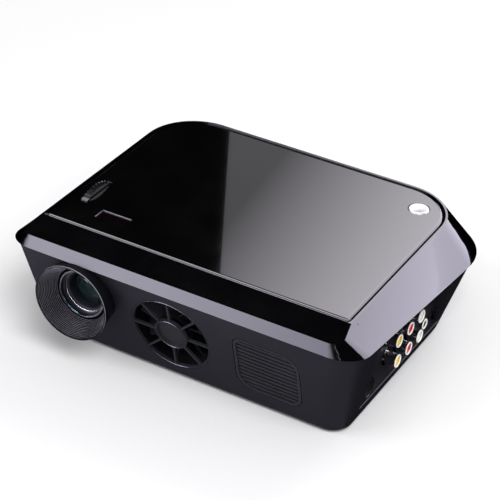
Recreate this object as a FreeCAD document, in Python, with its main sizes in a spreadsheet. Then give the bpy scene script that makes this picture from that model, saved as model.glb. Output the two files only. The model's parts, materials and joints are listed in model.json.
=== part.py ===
"""A table-top projector with a disc player under its top lid, as a parametric assembly.

X runs across the front, from the lens side (-) to the socket side (+). The front, with the lens,
faces -Y, and Z is up from the table. Lengths are in millimetres and angles in degrees.
"""
import FreeCAD, Part
import math
import os
import re

import Sketcher
from FreeCAD import Placement, Rotation, Vector

SIZES = {
    # tub, the lower shell
    "base_height": 2.5,
    "base_half": 109.0,
    "base_front": -87.0,
    "base_back": 85.0,
    "base_front_round": 13.0,
    "base_back_round": 43.0,
    "front_taper": 13.8,
    "wall": 2.4,
    # parting line between the shells, which falls towards the back
    "lip_drop": 13.1,
    "lip_angle": 6.84,
    "lip_half": 123.5,
    "lip_back": 112.0,
    "lip_front_round": 18.5,
    "lip_back_round": 58.0,
    "lip_step": 1.6,
    "lip_wall": 4.5,
    # upper shell
    "top_height": 82.5,
    "land": 2.5,
    "strip_drop": 4.0,
    "band_lean": 2.0,
    "top_front_round": 6.0,
    "collar": 5.0,
    "collar_back": 10.0,
    "flange_width": 4.0,
    "flange_thickness": 2.0,
    # lid
    "lid_inset": 3.0,
    "lid_front": -83.5,
    "lid_back": 72.5,
    "lid_corner": 33.5,
    "lid_front_corner": 1.2,
    "lid_thickness": 3.0,
    "lid_edge_round": 2.2,
    "seam_gap": 1.2,
    "skirt_inset": 2.0,
    "skirt_wall": 1.6,
    "hinge_setback": 3.5,
    "hinge_drop": 3.5,
    "hinge_pin_radius": 1.25,
    "hinge_boss_radius": 2.3,
    "hinge_boss_length": 8.0,
    "hinge_pin_reach": 4.4,
    # fits
    "seat_gap": 0.3,
    "running_gap": 0.05,
    "press_gap": 0.02,
    # infrared window in the lid
    "window_side": 26.7,
    "window_length": 22.1,
    "window_behind": 13.7,
    "window_width": 9.8,
    "window_depth": 0.7,
    "window_thickness": 1.2,
    "window_ledge": 1.2,
    # open button and its latch
    "button_side": 19.5,
    "button_ahead": 21.6,
    "button_radius": 6.7,
    "button_gap": 0.5,
    "button_flange": 8.1,
    "button_flange_thickness": 1.5,
    "button_proud": 0.4,
    "button_travel": 1.5,
    "latch_side": 40.0,
    "latch_width": 10.0,
    "latch_thickness": 1.2,
    "latch_bar_depth": 8.0,
    "latch_travel": 2.0,
    "latch_pin_radius": 1.2,
    "latch_pin_inset": 3.5,
    # deck under the lid, with the bay for the disc
    "deck_drop": 8.0,
    "deck_thickness": 2.5,
    "bay_x": 30.0,
    "bay_y": -5.0,
    "bay_radius": 61.5,
    "bay_wall": 2.0,
    "bay_depth": 10.0,
    "hub_hole": 16.5,
    "hub_radius": 15.0,
    "hub_thickness": 1.5,
    "hub_rise": 2.8,
    "hub_nose_radius": 7.4,
    "hub_nose_height": 2.7,
    "motor_radius": 13.5,
    "motor_length": 12.0,
    "motor_shaft": 1.5,
    "motor_plate": 1.2,
    "motor_plate_reach": 5.0,
    "motor_plate_front": 10.0,
    "motor_plate_back": 6.0,
    "clamp_radius": 11.5,
    "clamp_flange": 13.6,
    "clamp_flange_thickness": 1.5,
    "clamp_bore": 14.0,
    "clamp_ring": 16.5,
    "clamp_lip_thickness": 1.0,
    "clamp_float": 0.4,
    "clamp_play": 0.8,
    "disc_thickness": 1.2,
    "disc_gap": 0.2,
    # pickup sled
    "sled_length": 18.0,
    "sled_half": 24.0,
    "sled_thickness": 6.0,
    "sled_drop": 10.5,
    "sled_offset": 24.5,
    "sled_travel": 30.0,
    "rail_radius": 1.5,
    "rail_spread": 20.0,
    "rail_ear": 3.0,
    "rail_ear_half": 3.0,
    "rail_margin": 5.5,
    "pickup_radius": 4.0,
    "pickup_gap": 1.6,
    "pickup_rise": 3.2,
    # gears: pitch radius of the pinions, and the shape of one tooth
    "pinion_radius": 6.0,
    "pinion_teeth": 12,
    "tooth_reach": 0.6,
    "tooth_depth": 1.1,
    "tooth_root_half": 0.66,
    "tooth_tip_half": 0.37,
    "rack_root_half": 0.93,
    "rack_tip_half": 0.4,
    "rack_back": 3.0,
    "focus_pinion_width": 3.0,
    "sled_pinion_width": 4.0,
    "sled_pinion_y": 34.0,
    # focus wheel
    "wheel_side": 10.5,
    "wheel_behind": 40.0,
    "wheel_radius": 28.0,
    "wheel_proud": 3.5,
    "wheel_width": 4.5,
    "wheel_ribs": 52,
    "wheel_web": 1.2,
    "wheel_rib_height": 0.8,
    "wheel_rib_width": 1.7,
    "wheel_slot_gap": 0.8,
    "wheel_pin_radius": 1.5,
    "wheel_ear": 1.5,
    "wheel_ear_gap": 0.8,
    "wheel_ear_half": 4.5,
    # lens
    "lens_beside_wheel": 26.5,
    "lens_drop": 24.4,
    "hood_proud": 7.0,
    "hood_radius": 25.9,
    "hood_rear_radius": 20.8,
    "hood_rim": 0.8,
    "hood_throat": 18.4,
    "hood_length": 24.0,
    "hood_throat_length": 11.5,
    "hood_steps": 13,
    "barrel_front_radius": 16.8,
    "barrel_front_length": 25.0,
    "barrel_nose": 11.0,
    "barrel_radius": 17.0,
    "barrel_rear_length": 28.0,
    "barrel_bore": 12.5,
    "guide_wall": 2.5,
    "guide_length": 42.0,
    "guide_slot_half": 5.0,
    "pedestal_half": 8.0,
    "pedestal_length": 28.0,
    "trim_thickness": 0.8,
    "trim_inner": 15.6,
    "nose_depth": 6.0,
    "nose_steps": 3,
    "lens_thickness": 6.0,
    "lens_curve": 24.0,
    "lens_inset": 1.2,
    "focus_travel_deg": 28.0,
    # optical engine behind the lens
    "tunnel_wall": 1.6,
    "tunnel_neck_half": 13.5,
    "tunnel_neck_front": -38.0,
    "tunnel_front": -10.0,
    "tunnel_back": 52.0,
    "tunnel_half": 28.0,
    "tunnel_height_half": 24.0,
    "tunnel_hole": 10.5,
    "plate_thickness": 2.0,
    "field_front_y": -6.0,
    "panel_y": 2.0,
    "field_back_y": 10.0,
    "condenser_y": 26.0,
    "condenser_radius": 20.0,
    "condenser_thickness": 9.0,
    "condenser_curve": 30.0,
    "lamp_board": 1.6,
    "lamp_radius": 11.0,
    "lamp_height": 4.0,
    "sink_base": 4.0,
    "sink_depth": 14.0,
    "sink_fins": 9,
    "sink_fin": 1.6,
    # fan behind the round grille
    "fan_x": -6.5,
    "grille_margin": 6.45,
    "grille_depth": 2.2,
    "grille_rim": 1.0,
    "grille_hub": 11.5,
    "grille_hub_wall": 1.5,
    "grille_dish": 1.6,
    "grille_spokes": 8,
    "grille_spoke": 1.2,
    "fan_margin": 1.5,
    "fan_depth": 15.0,
    "fan_lip": 0.4,
    "fan_hub": 11.5,
    "fan_blades": 7,
    "blade_pitch": 38.0,
    "blade_gap": 3.1,
    "blade_chord": 13.0,
    "blade_thickness": 1.2,
    "fan_arm": 3.0,
    "fan_axle": 1.5,
    # speaker behind the slatted grille
    "speaker_side": 25.2,
    "speaker_width": 45.6,
    "speaker_low": 10.2,
    "speaker_drop": 14.1,
    "speaker_tight": 6.5,
    "speaker_wide": 13.0,
    "speaker_heel": 9.0,
    "slat_pitch": 3.22,
    "slat_height": 1.9,
    "slat_depth": 1.4,
    "speaker_frame": 1.7,
    "speaker_groove": 0.6,
    "speaker_margin": 2.3,
    "speaker_rim": 2.0,
    "speaker_depth": 9.0,
    "magnet_radius": 11.0,
    "magnet_depth": 6.0,
    "cone_margin": 3.0,
    "cone_depth": 5.0,
    "cone_thickness": 0.8,
    # socket bay in the right wall
    "socket_bay_behind": 19.0,
    "socket_bay_ahead": 43.5,
    "bay_bottom": 10.5,
    "panel_thickness": 2.4,
    "panel_edge": 1.6,
    "rca_behind": 34.5,
    "rca_pitch": 15.5,
    "rca_low": 28.0,
    "rca_rise": 15.0,
    "rca_radius": 4.15,
    "rca_bore": 3.45,
    "rca_flange": 5.6,
    "rca_flange_thickness": 0.9,
    "rca_reach": 8.5,
    "rca_tail": 3.6,
    "rca_core_bore": 1.65,
    "rca_core_inset": 0.5,
    "small_jack_height": 19.8,
    "phones_behind": 90.0,
    "signal_behind": 103.5,
    "small_jack_ring": 4.0,
    "small_jack_bore": 1.8,
    "small_jack_body": 3.2,
    "inlet_behind": 11.0,
    "inlet_height": 19.5,
    "inlet_ring": 7.2,
    "inlet_cup": 6.0,
    "inlet_cup_depth": 1.4,
    "inlet_bore": 2.75,
    "inlet_pin": 1.0,
    "jack_proud": 1.4,
    "jack_board_inset": 13.0,
    "board_thickness": 1.6,
    # main board, posts, feet and screws
    "board_left": -30.0,
    "board_side": 17.0,
    "board_behind": 27.0,
    "board_ahead": 29.0,
    "board_height": 9.0,
    "chip_side": 22.0,
    "chip_height": 2.2,
    "capacitor_radius": 4.0,
    "capacitor_height": 12.0,
    "capacitor_pitch": 11.0,
    "standoff_radius": 3.0,
    "standoff_inset": 6.0,
    "post_radius": 3.2,
    "post_split": 12.0,
    "post_front_side": 9.0,
    "post_front_behind": 11.0,
    "post_back_side": 49.0,
    "post_back_ahead": 14.0,
    "boss_radius": 5.0,
    "screw_radius": 1.5,
    "screw_length": 16.0,
    "screw_head": 3.0,
    "screw_head_height": 2.2,
    "screw_recess": 4.0,
    "foot_radius": 7.0,
    "foot_side": 24.0,
    "foot_front_behind": 25.0,
    "foot_back_ahead": 27.0,
    "vent_width": 3.0,
    "vent_pitch": 7.0,
    "vents": 9,
    "vent_middle": 20.0,
    "vent_low": 18.0,
    "vent_high": 40.0,
    "rear_vent_low": 10.0,
    "rear_vent_high": 24.0,
}
# A size that follows another: the lid stays a little inside the sides of the tub.
LINKED = {"lid_half": "base_half - lid_inset"}

doc = FreeCAD.newDocument("projector")
sheet = doc.addObject("Spreadsheet::Sheet", "sizes")
for row, (alias, amount) in enumerate({**SIZES, **LINKED}.items(), start=1):
    sheet.set(f"A{row}", alias)
    sheet.set(f"B{row}", f"={amount}")
    sheet.setAlias(f"B{row}", alias)
probe = doc.addObject("App::FeaturePython", "probe")
probe.addProperty("App::PropertyFloat", "amount")
doc.recompute()

KEPT = []
ALONG = {"z": None, "x": ((0, 1, 0), "90"), "y": ((1, 0, 0), "-90"), "-y": ((1, 0, 0), "90")}
FAR = "400"


def formula(text):
    """The expression for the document, with each size's alias pointed at the sheet."""
    named = {**SIZES, **LINKED}
    return re.sub(r"[a-z_]+", lambda word: "sizes." + word[0] if word[0] in named else word[0], text)


def number(text):
    """What a formula comes to at the present sizes."""
    probe.setExpression("amount", formula(text))
    probe.recompute()
    return probe.amount


def bind(thing, **formulas):
    for name, text in formulas.items():
        thing.setExpression(name, formula(text))
    return thing


def place(thing, at=("0", "0", "0"), turn=None):
    """Move a thing to a point, after turning it by an angle about an axis through its origin."""
    if turn:
        axis, angle = turn
        thing.Placement = Placement(Vector(), Rotation(Vector(*axis), number(angle)))
        thing.setExpression("Placement.Rotation.Angle", formula(angle))
    for axis_name, text in zip("xyz", at):
        thing.setExpression("Placement.Base." + axis_name, formula(text))
    return thing


def block(x, y, z, turn=None):
    """A box between two limits on each axis."""
    box = doc.addObject("Part::Box", "block")
    bind(box, Length=f"({x[1]}) - ({x[0]})", Width=f"({y[1]}) - ({y[0]})", Height=f"({z[1]}) - ({z[0]})")
    return place(box, (x[0], y[0], z[0]), turn)


def rod(radius, length, at, along="z"):
    cylinder = doc.addObject("Part::Cylinder", "rod")
    bind(cylinder, Radius=radius, Height=length)
    return place(cylinder, at, ALONG[along])


def fuse(*pieces):
    joined = doc.addObject("Part::MultiFuse", "joined")
    joined.Shapes = list(pieces)
    return joined


def group(*pieces):
    """Separate solids kept as one sub-part."""
    several = doc.addObject("Part::Compound", "several")
    several.Links = list(pieces)
    return several


def cut(base, *tools):
    trimmed = doc.addObject("Part::Cut", "trimmed")
    trimmed.Base = base
    trimmed.Tool = tools[0] if len(tools) == 1 else fuse(*tools)
    return trimmed


def common(first, second):
    shared = doc.addObject("Part::MultiCommon", "shared")
    shared.Shapes = [first, second]
    return shared


def pipe(outer, inner, length, at, along="z"):
    return cut(rod(outer, length, at, along), rod(inner, length, at, along))


def outline(left, right, front, back, rounds, at=("0", "0", "0"), turn=None):
    """A closed sketch of a rectangle with its own round at each corner.

    rounds holds the radii at the front left, front right, back right and back left corners.
    """
    sketch = place(doc.addObject("Sketcher::SketchObject", "outline"), at, turn)
    x_left, x_right, y_front, y_back = (number(text) for text in (left, right, front, back))
    radii = [number(text) for text in rounds]
    corners = [
        (Vector(x_left, y_front), Vector(1, 1)),
        (Vector(x_right, y_front), Vector(-1, 1)),
        (Vector(x_right, y_back), Vector(-1, -1)),
        (Vector(x_left, y_back), Vector(1, -1)),
    ]
    centres = [corner + inward * radius for (corner, inward), radius in zip(corners, radii)]
    for index, (centre, radius) in enumerate(zip(centres, radii)):
        start = math.pi + index * math.pi / 2
        circle = Part.Circle(centre, Vector(0, 0, 1), radius)
        sketch.addGeometry(Part.ArcOfCircle(circle, start, start + math.pi / 2))
    for index in range(4):
        leaving = sketch.Geometry[index].EndPoint
        meeting = sketch.Geometry[(index + 1) % 4].StartPoint
        sketch.addGeometry(Part.LineSegment(leaving, meeting))
    for index in range(4):
        side = 4 + index
        sketch.addConstraint(Sketcher.Constraint("Tangent", index, 2, side, 1))
        sketch.addConstraint(Sketcher.Constraint("Tangent", side, 2, (index + 1) % 4, 1))
        sketch.addConstraint(Sketcher.Constraint("Vertical" if index % 2 else "Horizontal", side))
    for index, text in enumerate(rounds):
        which = sketch.addConstraint(Sketcher.Constraint("Radius", index, radii[index]))
        sketch.setExpression(f"Constraints[{which}]", formula(text))
    for kind, side, text in (("DistanceY", 4, front), ("DistanceX", 5, right),
                             ("DistanceY", 6, back), ("DistanceX", 7, left)):
        which = sketch.addConstraint(Sketcher.Constraint(kind, -1, 1, side, 1, number(text)))
        sketch.setExpression(f"Constraints[{which}]", formula(text))
    return sketch


def prism(sketch, height):
    """A sketch carried straight up from its plane."""
    solid = doc.addObject("Part::Extrusion", "prism")
    solid.Base = sketch
    solid.DirMode = "Normal"
    solid.Solid = True
    return bind(solid, LengthFwd=height)


def loft(lower, upper):
    solid = doc.addObject("Part::Loft", "loft")
    solid.Sections = [lower, upper]
    solid.Solid = True
    solid.Ruled = True
    return solid


def turned(label, profile, at, along="z"):
    """A body turned from a closed profile of (radius, height) corners about its own axis."""
    body = doc.addObject("PartDesign::Body", label)
    plane = next(item for item in body.Origin.OriginFeatures if item.Role == "XZ_Plane")
    sketch = body.newObject("Sketcher::SketchObject", label + "_profile")
    sketch.AttachmentSupport = [(plane, "")]
    sketch.MapMode = "FlatFace"
    points = [Vector(number(radius), number(height)) for radius, height in profile]
    for start, end in zip(points, points[1:] + points[:1]):
        sketch.addGeometry(Part.LineSegment(start, end))
    count = len(points)
    for index in range(count):
        sketch.addConstraint(Sketcher.Constraint("Coincident", index, 2, (index + 1) % count, 1))
    for index, corner in enumerate(profile):
        for kind, text, axis in (("DistanceX", corner[0], -2), ("DistanceY", corner[1], -1)):
            if text == "0":
                sketch.addConstraint(Sketcher.Constraint("PointOnObject", index, 1, axis))
                continue
            which = sketch.addConstraint(Sketcher.Constraint(kind, -1, 1, index, 1, number(text)))
            sketch.setExpression(f"Constraints[{which}]", formula(text))
    revolution = body.newObject("PartDesign::Revolution", label + "_turned")
    revolution.Profile = sketch
    revolution.ReferenceAxis = (sketch, ["V_Axis"])
    revolution.Angle = 360
    return place(body, at, ALONG[along])


def rounded(base, radius, pick):
    """A solid with a round on each edge that pick accepts."""
    doc.recompute()
    edges = [index for index, edge in enumerate(base.Shape.Edges, start=1) if pick(edge)]
    fillet = doc.addObject("Part::Fillet", "rounded")
    fillet.Base = base
    fillet.Edges = [(index, number(radius), number(radius)) for index in edges]
    return fillet


def keep(thing, label):
    """Name a finished sub-part, which is written to a file of its own."""
    thing.Label = label
    KEPT.append(thing)
    return thing


def lens_shape(radius, thickness, curve, at, along):
    """A glass disc, flat behind and domed in front: a rod trimmed by a ball."""
    ball = doc.addObject("Part::Sphere", "dome")
    bind(ball, Radius=curve)
    x, y, z = at
    sign = "+" if along == "y" else "-"
    place(ball, (x, f"({y}) {sign} ({curve})", z))
    return common(rod(radius, thickness, at, along), ball)


# Heights and places that follow from the sizes.
LIP_HEIGHT = "(top_height - lip_drop)"
PANEL_FACE = "base_half"
JACK_BOARD = "(base_half - jack_board_inset)"
POST_FRONT_X = "(base_half - post_front_side)"
POST_FRONT_Y = "(base_front + post_front_behind)"
POST_BACK_X = "(base_half - post_back_side)"
POST_BACK_Y = "(base_back - post_back_ahead)"
FOOT_X = "(base_half - foot_side)"
FOOT_FRONT = "(base_front + foot_front_behind)"
FOOT_BACK = "(base_back - foot_back_ahead)"
BAY_FRONT = "(base_front + socket_bay_behind)"
BAY_REAR = "(base_back - socket_bay_ahead)"
RCA_FIRST = f"({BAY_FRONT} + rca_behind)"
PHONES_Y = f"({BAY_FRONT} + phones_behind)"
SIGNAL_Y = f"({BAY_FRONT} + signal_behind)"
INLET_Y = f"({BAY_FRONT} + inlet_behind)"
BOARD_RIGHT = "(base_half - board_side)"
BOARD_FRONT = "(base_front + board_behind)"
BOARD_BACK = "(base_back - board_ahead)"
SPEAKER_RIGHT = "(base_half - speaker_side)"
SPEAKER_LEFT = f"({SPEAKER_RIGHT} - speaker_width)"
WHEEL_X = "(wheel_side - lid_half)"
LENS_X = f"({WHEEL_X} + lens_beside_wheel)"
WHEEL_Y = "(lid_front + wheel_behind)"
BUTTON_X = "(lid_half - button_side)"
BUTTON_Y = "(lid_back - button_ahead)"
LATCH_X = "(lid_half - latch_side)"
WINDOW_LEFT = "(window_side - lid_half)"
WINDOW_RIGHT = f"({WINDOW_LEFT} + window_length)"
WINDOW_FRONT = "(lid_front + window_behind)"
WINDOW_BACK = f"({WINDOW_FRONT} + window_width)"
DECK_TOP = "(top_height - deck_drop)"
BAY_FLOOR = f"({DECK_TOP} - bay_depth)"
HUB_SEAT = f"({BAY_FLOOR} + hub_rise)"
SLED_LOW = f"({BAY_FLOOR} - sled_drop)"
LENS_Z = f"({LIP_HEIGHT} - lens_drop)"
FRONT_WALL = f"(({LIP_HEIGHT} - base_height) / cos(front_taper))"
GRILLE = f"({FRONT_WALL} / 2 - grille_margin)"
FAN_UP = f"({FRONT_WALL} / 2)"
FAN_HALF = f"({GRILLE} + fan_margin)"
FAN_BORE = f"({GRILLE} - fan_lip)"
BLADE_LENGTH = f"({GRILLE} - fan_hub - blade_gap)"
SPEAKER_TOP = f"({FRONT_WALL} - speaker_drop)"
SPEAKER_RADIUS = f"(({SPEAKER_TOP} - speaker_low) / 2 - speaker_margin)"
CONE_RADIUS = f"({SPEAKER_RADIUS} - cone_margin)"
SHELL_FRONT = f"(base_front - ({LIP_HEIGHT} - base_height) * tan(front_taper) - lip_step)"
LIP_LENGTH = f"((lip_back - {SHELL_FRONT}) / cos(lip_angle))"
LIP_AT = ("0", SHELL_FRONT, LIP_HEIGHT)
LIP_TURN = ((1, 0, 0), "-lip_angle")
FLOOR = "(base_height + wall)"
DECK_UNDER = f"({DECK_TOP} - deck_thickness)"
LID_UNDER = "(top_height - lid_thickness)"
HINGE_Y = "(lid_front + hinge_setback)"
HINGE_Z = "(top_height - hinge_drop)"
HOOD_MOUTH = f"({SHELL_FRONT} - hood_proud)"
HOOD_REAR = f"({HOOD_MOUTH} + hood_length)"
BARREL_FRONT = f"({HOOD_REAR} - barrel_nose)"
BARREL_STEP = f"({BARREL_FRONT} + barrel_front_length)"
BARREL_REAR = f"({BARREL_STEP} + barrel_rear_length)"
WHEEL_Z = "(top_height + wheel_proud - wheel_radius)"
LEFT_EAR = f"({WHEEL_X} - wheel_width / 2 - wheel_ear_gap - wheel_ear)"
RIGHT_EAR = f"({WHEEL_X} + wheel_width / 2 + focus_pinion_width + wheel_ear_gap)"
PICKUP_Y = "(bay_y + sled_offset)"
RAIL_X = ("(bay_x - rail_spread)", "(bay_x + rail_spread)")
RAIL_Z = f"({SLED_LOW} + sled_thickness / 2)"
RAIL_FRONT = f"({PICKUP_Y} - sled_length / 2 - rail_margin - rail_ear)"
RAIL_BACK = f"({PICKUP_Y} + sled_length / 2 + sled_travel + rail_margin / 2)"
RACK_FACE = "(bay_x - sled_half - rack_back)"
SLED_PINION_AT = (f"({RACK_FACE} - tooth_depth - pinion_radius + 0.3)", "sled_pinion_y")
TOOTH_PITCH = "(2 * pi * pinion_radius / pinion_teeth)"


def lip_outline(inset):
    """The outline of the parting line, drawn in by an inset, on its sloping plane."""
    front = f"lip_front_round - ({inset})"
    back = f"lip_back_round - ({inset})"
    half = f"lip_half - ({inset})"
    return outline(f"-({half})", half, inset, f"{LIP_LENGTH} - ({inset})", (front, front, back, back),
                   LIP_AT, LIP_TURN)


def lid_outline(grow, height):
    """The lid's outline, grown on every side, at a height."""
    half = f"lid_half + ({grow})"
    front = f"max(lid_front_corner + ({grow}); 0.4)"
    back = f"lid_corner + ({grow})"
    return outline(f"-({half})", half, f"lid_front - ({grow})", f"lid_back + ({grow})",
                   (front, front, back, back), ("0", "0", height))


def on_front(thing, across, up, out):
    """Seat a thing on the sloping front wall: its Z points out of the wall and its Y up the wall."""
    place(thing, (
        across,
        f"base_front - ({up}) * sin(front_taper) - ({out}) * cos(front_taper)",
        f"base_height + ({up}) * cos(front_taper) - ({out}) * sin(front_taper)",
    ), ((1, 0, 0), "90 + front_taper"))
    return thing


def below_lip(depth):
    """A slab whose underside lies on the parting plane, lowered by a depth."""
    slab = doc.addObject("Part::Box", "slab")
    bind(slab, Length=FAR, Width=FAR, Height=FAR)
    lead = "20"
    return place(slab, (f"-{FAR} / 2", f"{SHELL_FRONT} - {lead}",
                        f"{LIP_HEIGHT} + {lead} * tan(lip_angle) - ({depth})"), LIP_TURN)


def pinion(width, low="0"):
    """A small gear about Z, from a height up."""
    teeth = int(number("pinion_teeth"))
    root = "(pinion_radius - tooth_depth)"
    pieces = [rod(f"{root} + 0.15", width, ("0", "0", low))]
    for index in range(teeth):
        tooth = doc.addObject("Part::Wedge", "tooth")
        bind(tooth, Xmin="-tooth_root_half", Xmax="tooth_root_half", X2min="-tooth_tip_half",
             X2max="tooth_tip_half", Ymin=root, Ymax="pinion_radius + tooth_reach", Zmin="0", Zmax=width,
             Z2min="0", Z2max=width)
        pieces.append(place(tooth, ("0", "0", low), ((0, 0, 1), f"{index} * 360 / pinion_teeth")))
    return fuse(*pieces)


def spoke_place(box, out, half, angle):
    """Set a box about Z at an angle, its length running outwards from a radius."""
    return place(box, (f"({out}) * cos({angle}) + ({half}) * sin({angle})",
                       f"({out}) * sin({angle}) - ({half}) * cos({angle})", "0"), ((0, 0, 1), angle))


def rack_teeth(first, last, width):
    """Rack teeth along X on top of Y = 0, numbered from the pinion's centre line."""
    teeth = []
    for index in range(first, last):
        tooth = doc.addObject("Part::Wedge", "rack_tooth")
        middle = f"({index} + 0.5) * {TOOTH_PITCH}"
        bind(tooth, Xmin=f"{middle} - rack_root_half", Xmax=f"{middle} + rack_root_half",
             X2min=f"{middle} - rack_tip_half", X2max=f"{middle} + rack_tip_half",
             Ymin="0", Ymax="tooth_reach + tooth_depth", Zmin="0", Zmax=width, Z2min="0", Z2max=width)
        teeth.append(tooth)
    return teeth


def make_lower_shell():
    taper = "wall - wall * tan(front_taper)"
    base = outline("-base_half", "base_half", "base_front", "base_back",
                   ("base_front_round", "base_front_round", "base_back_round", "base_back_round"),
                   ("0", "0", "base_height"))
    inner = outline(f"-(base_half - ({taper}))", f"base_half - ({taper})", f"base_front + ({taper})",
                    f"base_back - ({taper})",
                    ("base_front_round - wall", "base_front_round - wall",
                     "base_back_round - wall", "base_back_round - wall"), ("0", "0", FLOOR))
    tub = loft(base, lip_outline("lip_step"))
    hollow = loft(inner, lip_outline("lip_step + wall"))
    socket_opening = block((f"{PANEL_FACE} - 8", "lip_half + 10"), (BAY_FRONT, BAY_REAR),
                           ("bay_bottom", "top_height"))
    fan_hole = rod(GRILLE, "wall * 6", ("0", "0", "0"))
    speaker_hole = prism(speaker_outline("0"), "wall * 4")
    openings = [socket_opening, hood_cone("seat_gap"), on_front(fan_hole, "fan_x", FAN_UP, "-wall * 3"),
                on_front(speaker_hole, "0", "0", "-wall * 2")]
    for index in range(int(number("vents"))):
        middle = f"({index} - (vents - 1) / 2) * vent_pitch"
        openings.append(block(("-lip_half - 10", "-base_half + 8"),
                              (f"vent_middle + {middle} - vent_width / 2",
                               f"vent_middle + {middle} + vent_width / 2"), ("vent_low", "vent_high")))
        openings.append(block((f"{middle} - vent_width / 2", f"{middle} + vent_width / 2"),
                              ("base_back - 6", "lip_back"), ("rear_vent_low", "rear_vent_high")))
    bosses = []
    for x, y in screw_places():
        bosses.append(rod("boss_radius", "post_split - base_height", (x, y, "base_height")))
        openings.append(rod("screw_radius + seat_gap", "post_split", (x, y, "0")))
        openings.append(rod("screw_head + seat_gap", "screw_recess", (x, y, "base_height")))
    standoffs = [rod("standoff_radius", f"board_height - {FLOOR} + 1", (x, y, f"{FLOOR} - 1"))
                 for x, y in board_corners()]
    keep(fuse(cut(fuse(cut(tub, hollow), *bosses), *openings), *standoffs), "lower_shell")
    return tub


def screw_places():
    return [(f"-{POST_FRONT_X}", POST_FRONT_Y), (POST_FRONT_X, POST_FRONT_Y),
            (f"-{POST_BACK_X}", POST_BACK_Y), (POST_BACK_X, POST_BACK_Y)]


def board_corners():
    return [(x, y) for x in ("board_left + standoff_inset", f"{BOARD_RIGHT} - standoff_inset")
            for y in (f"{BOARD_FRONT} + standoff_inset", f"{BOARD_BACK} - standoff_inset")]


def hood_cone(grow):
    """The outside of the hood as a solid cone, grown by a clearance."""
    cone = doc.addObject("Part::Cone", "hood_cone")
    bind(cone, Radius1=f"hood_radius + ({grow})", Radius2=f"hood_rear_radius + ({grow})",
         Height="hood_length")
    return place(cone, (LENS_X, HOOD_MOUTH, LENS_Z), ALONG["y"])


def speaker_outline(inset, height="0"):
    tight = f"speaker_tight - ({inset})"
    wide = f"speaker_wide - ({inset})"
    heel = f"speaker_heel - ({inset})"
    return outline(f"{SPEAKER_LEFT} + ({inset})", f"{SPEAKER_RIGHT} - ({inset})", f"speaker_low + ({inset})",
                   f"{SPEAKER_TOP} - ({inset})", (wide, heel, wide, tight), ("0", "0", height))


def make_upper_shell():
    half = "lid_half + land"
    front = f"{SHELL_FRONT} + band_lean"
    top = outline(f"-({half})", half, front, "lid_back + land",
                  ("top_front_round", "top_front_round", "lid_corner + land", "lid_corner + land"),
                  ("0", "0", "top_height"))
    blank = loft(lip_outline("0"), top)
    slope = f"atan(strip_drop / (lid_front - seam_gap - ({front})))"
    reach = "40"
    strip = doc.addObject("Part::Box", "strip_cut")
    bind(strip, Length=FAR, Width=reach, Height="20")
    place(strip, (f"-{FAR} / 2", f"lid_front - seam_gap - {reach} * cos({slope})",
                  f"top_height - {reach} * sin({slope})"), ((1, 0, 0), slope))
    under = f"({DECK_UNDER} - flange_thickness)"
    inner_half = "lid_half + collar"
    ceiling = outline(f"-({inner_half})", inner_half, f"{SHELL_FRONT} + wall", "lid_back + collar_back",
                      ("top_front_round - wall", "top_front_round - wall",
                       "lid_corner + collar", "lid_corner + collar"), ("0", "0", under))
    cavity = loft(lip_outline("lip_wall"), ceiling)
    well = prism(lid_outline("seam_gap", DECK_UNDER), "top_height")
    mouth = prism(lid_outline("-flange_width", f"{under} - 1"), "top_height")
    posts = [rod("post_radius", f"{under} - post_split - seat_gap + 1", (x, y, "post_split + seat_gap"))
             for x, y in screw_places()]
    bores = [rod("screw_radius + press_gap", "screw_length", (x, y, "base_height + screw_recess"))
             for x, y in screw_places()]
    hinge = rod("hinge_pin_radius + running_gap", "2 * (lid_half + hinge_pin_reach + seat_gap)",
                ("-(lid_half + hinge_pin_reach + seat_gap)", HINGE_Y, HINGE_Z), "x")
    shell = cut(blank, strip, cavity, well, mouth, hinge, hood_cone("seat_gap"))
    return keep(cut(fuse(shell, *posts), *bores), "upper_shell")


def hinge_rods(radius, reach="0"):
    """A rod on the hinge's axis through each of the lid's bosses, reaching out past its sides."""
    return [rod(radius, f"hinge_boss_length + ({reach})", (x, HINGE_Y, HINGE_Z), "x")
            for x in (f"-lid_half - ({reach})", "lid_half - hinge_boss_length")]


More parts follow.
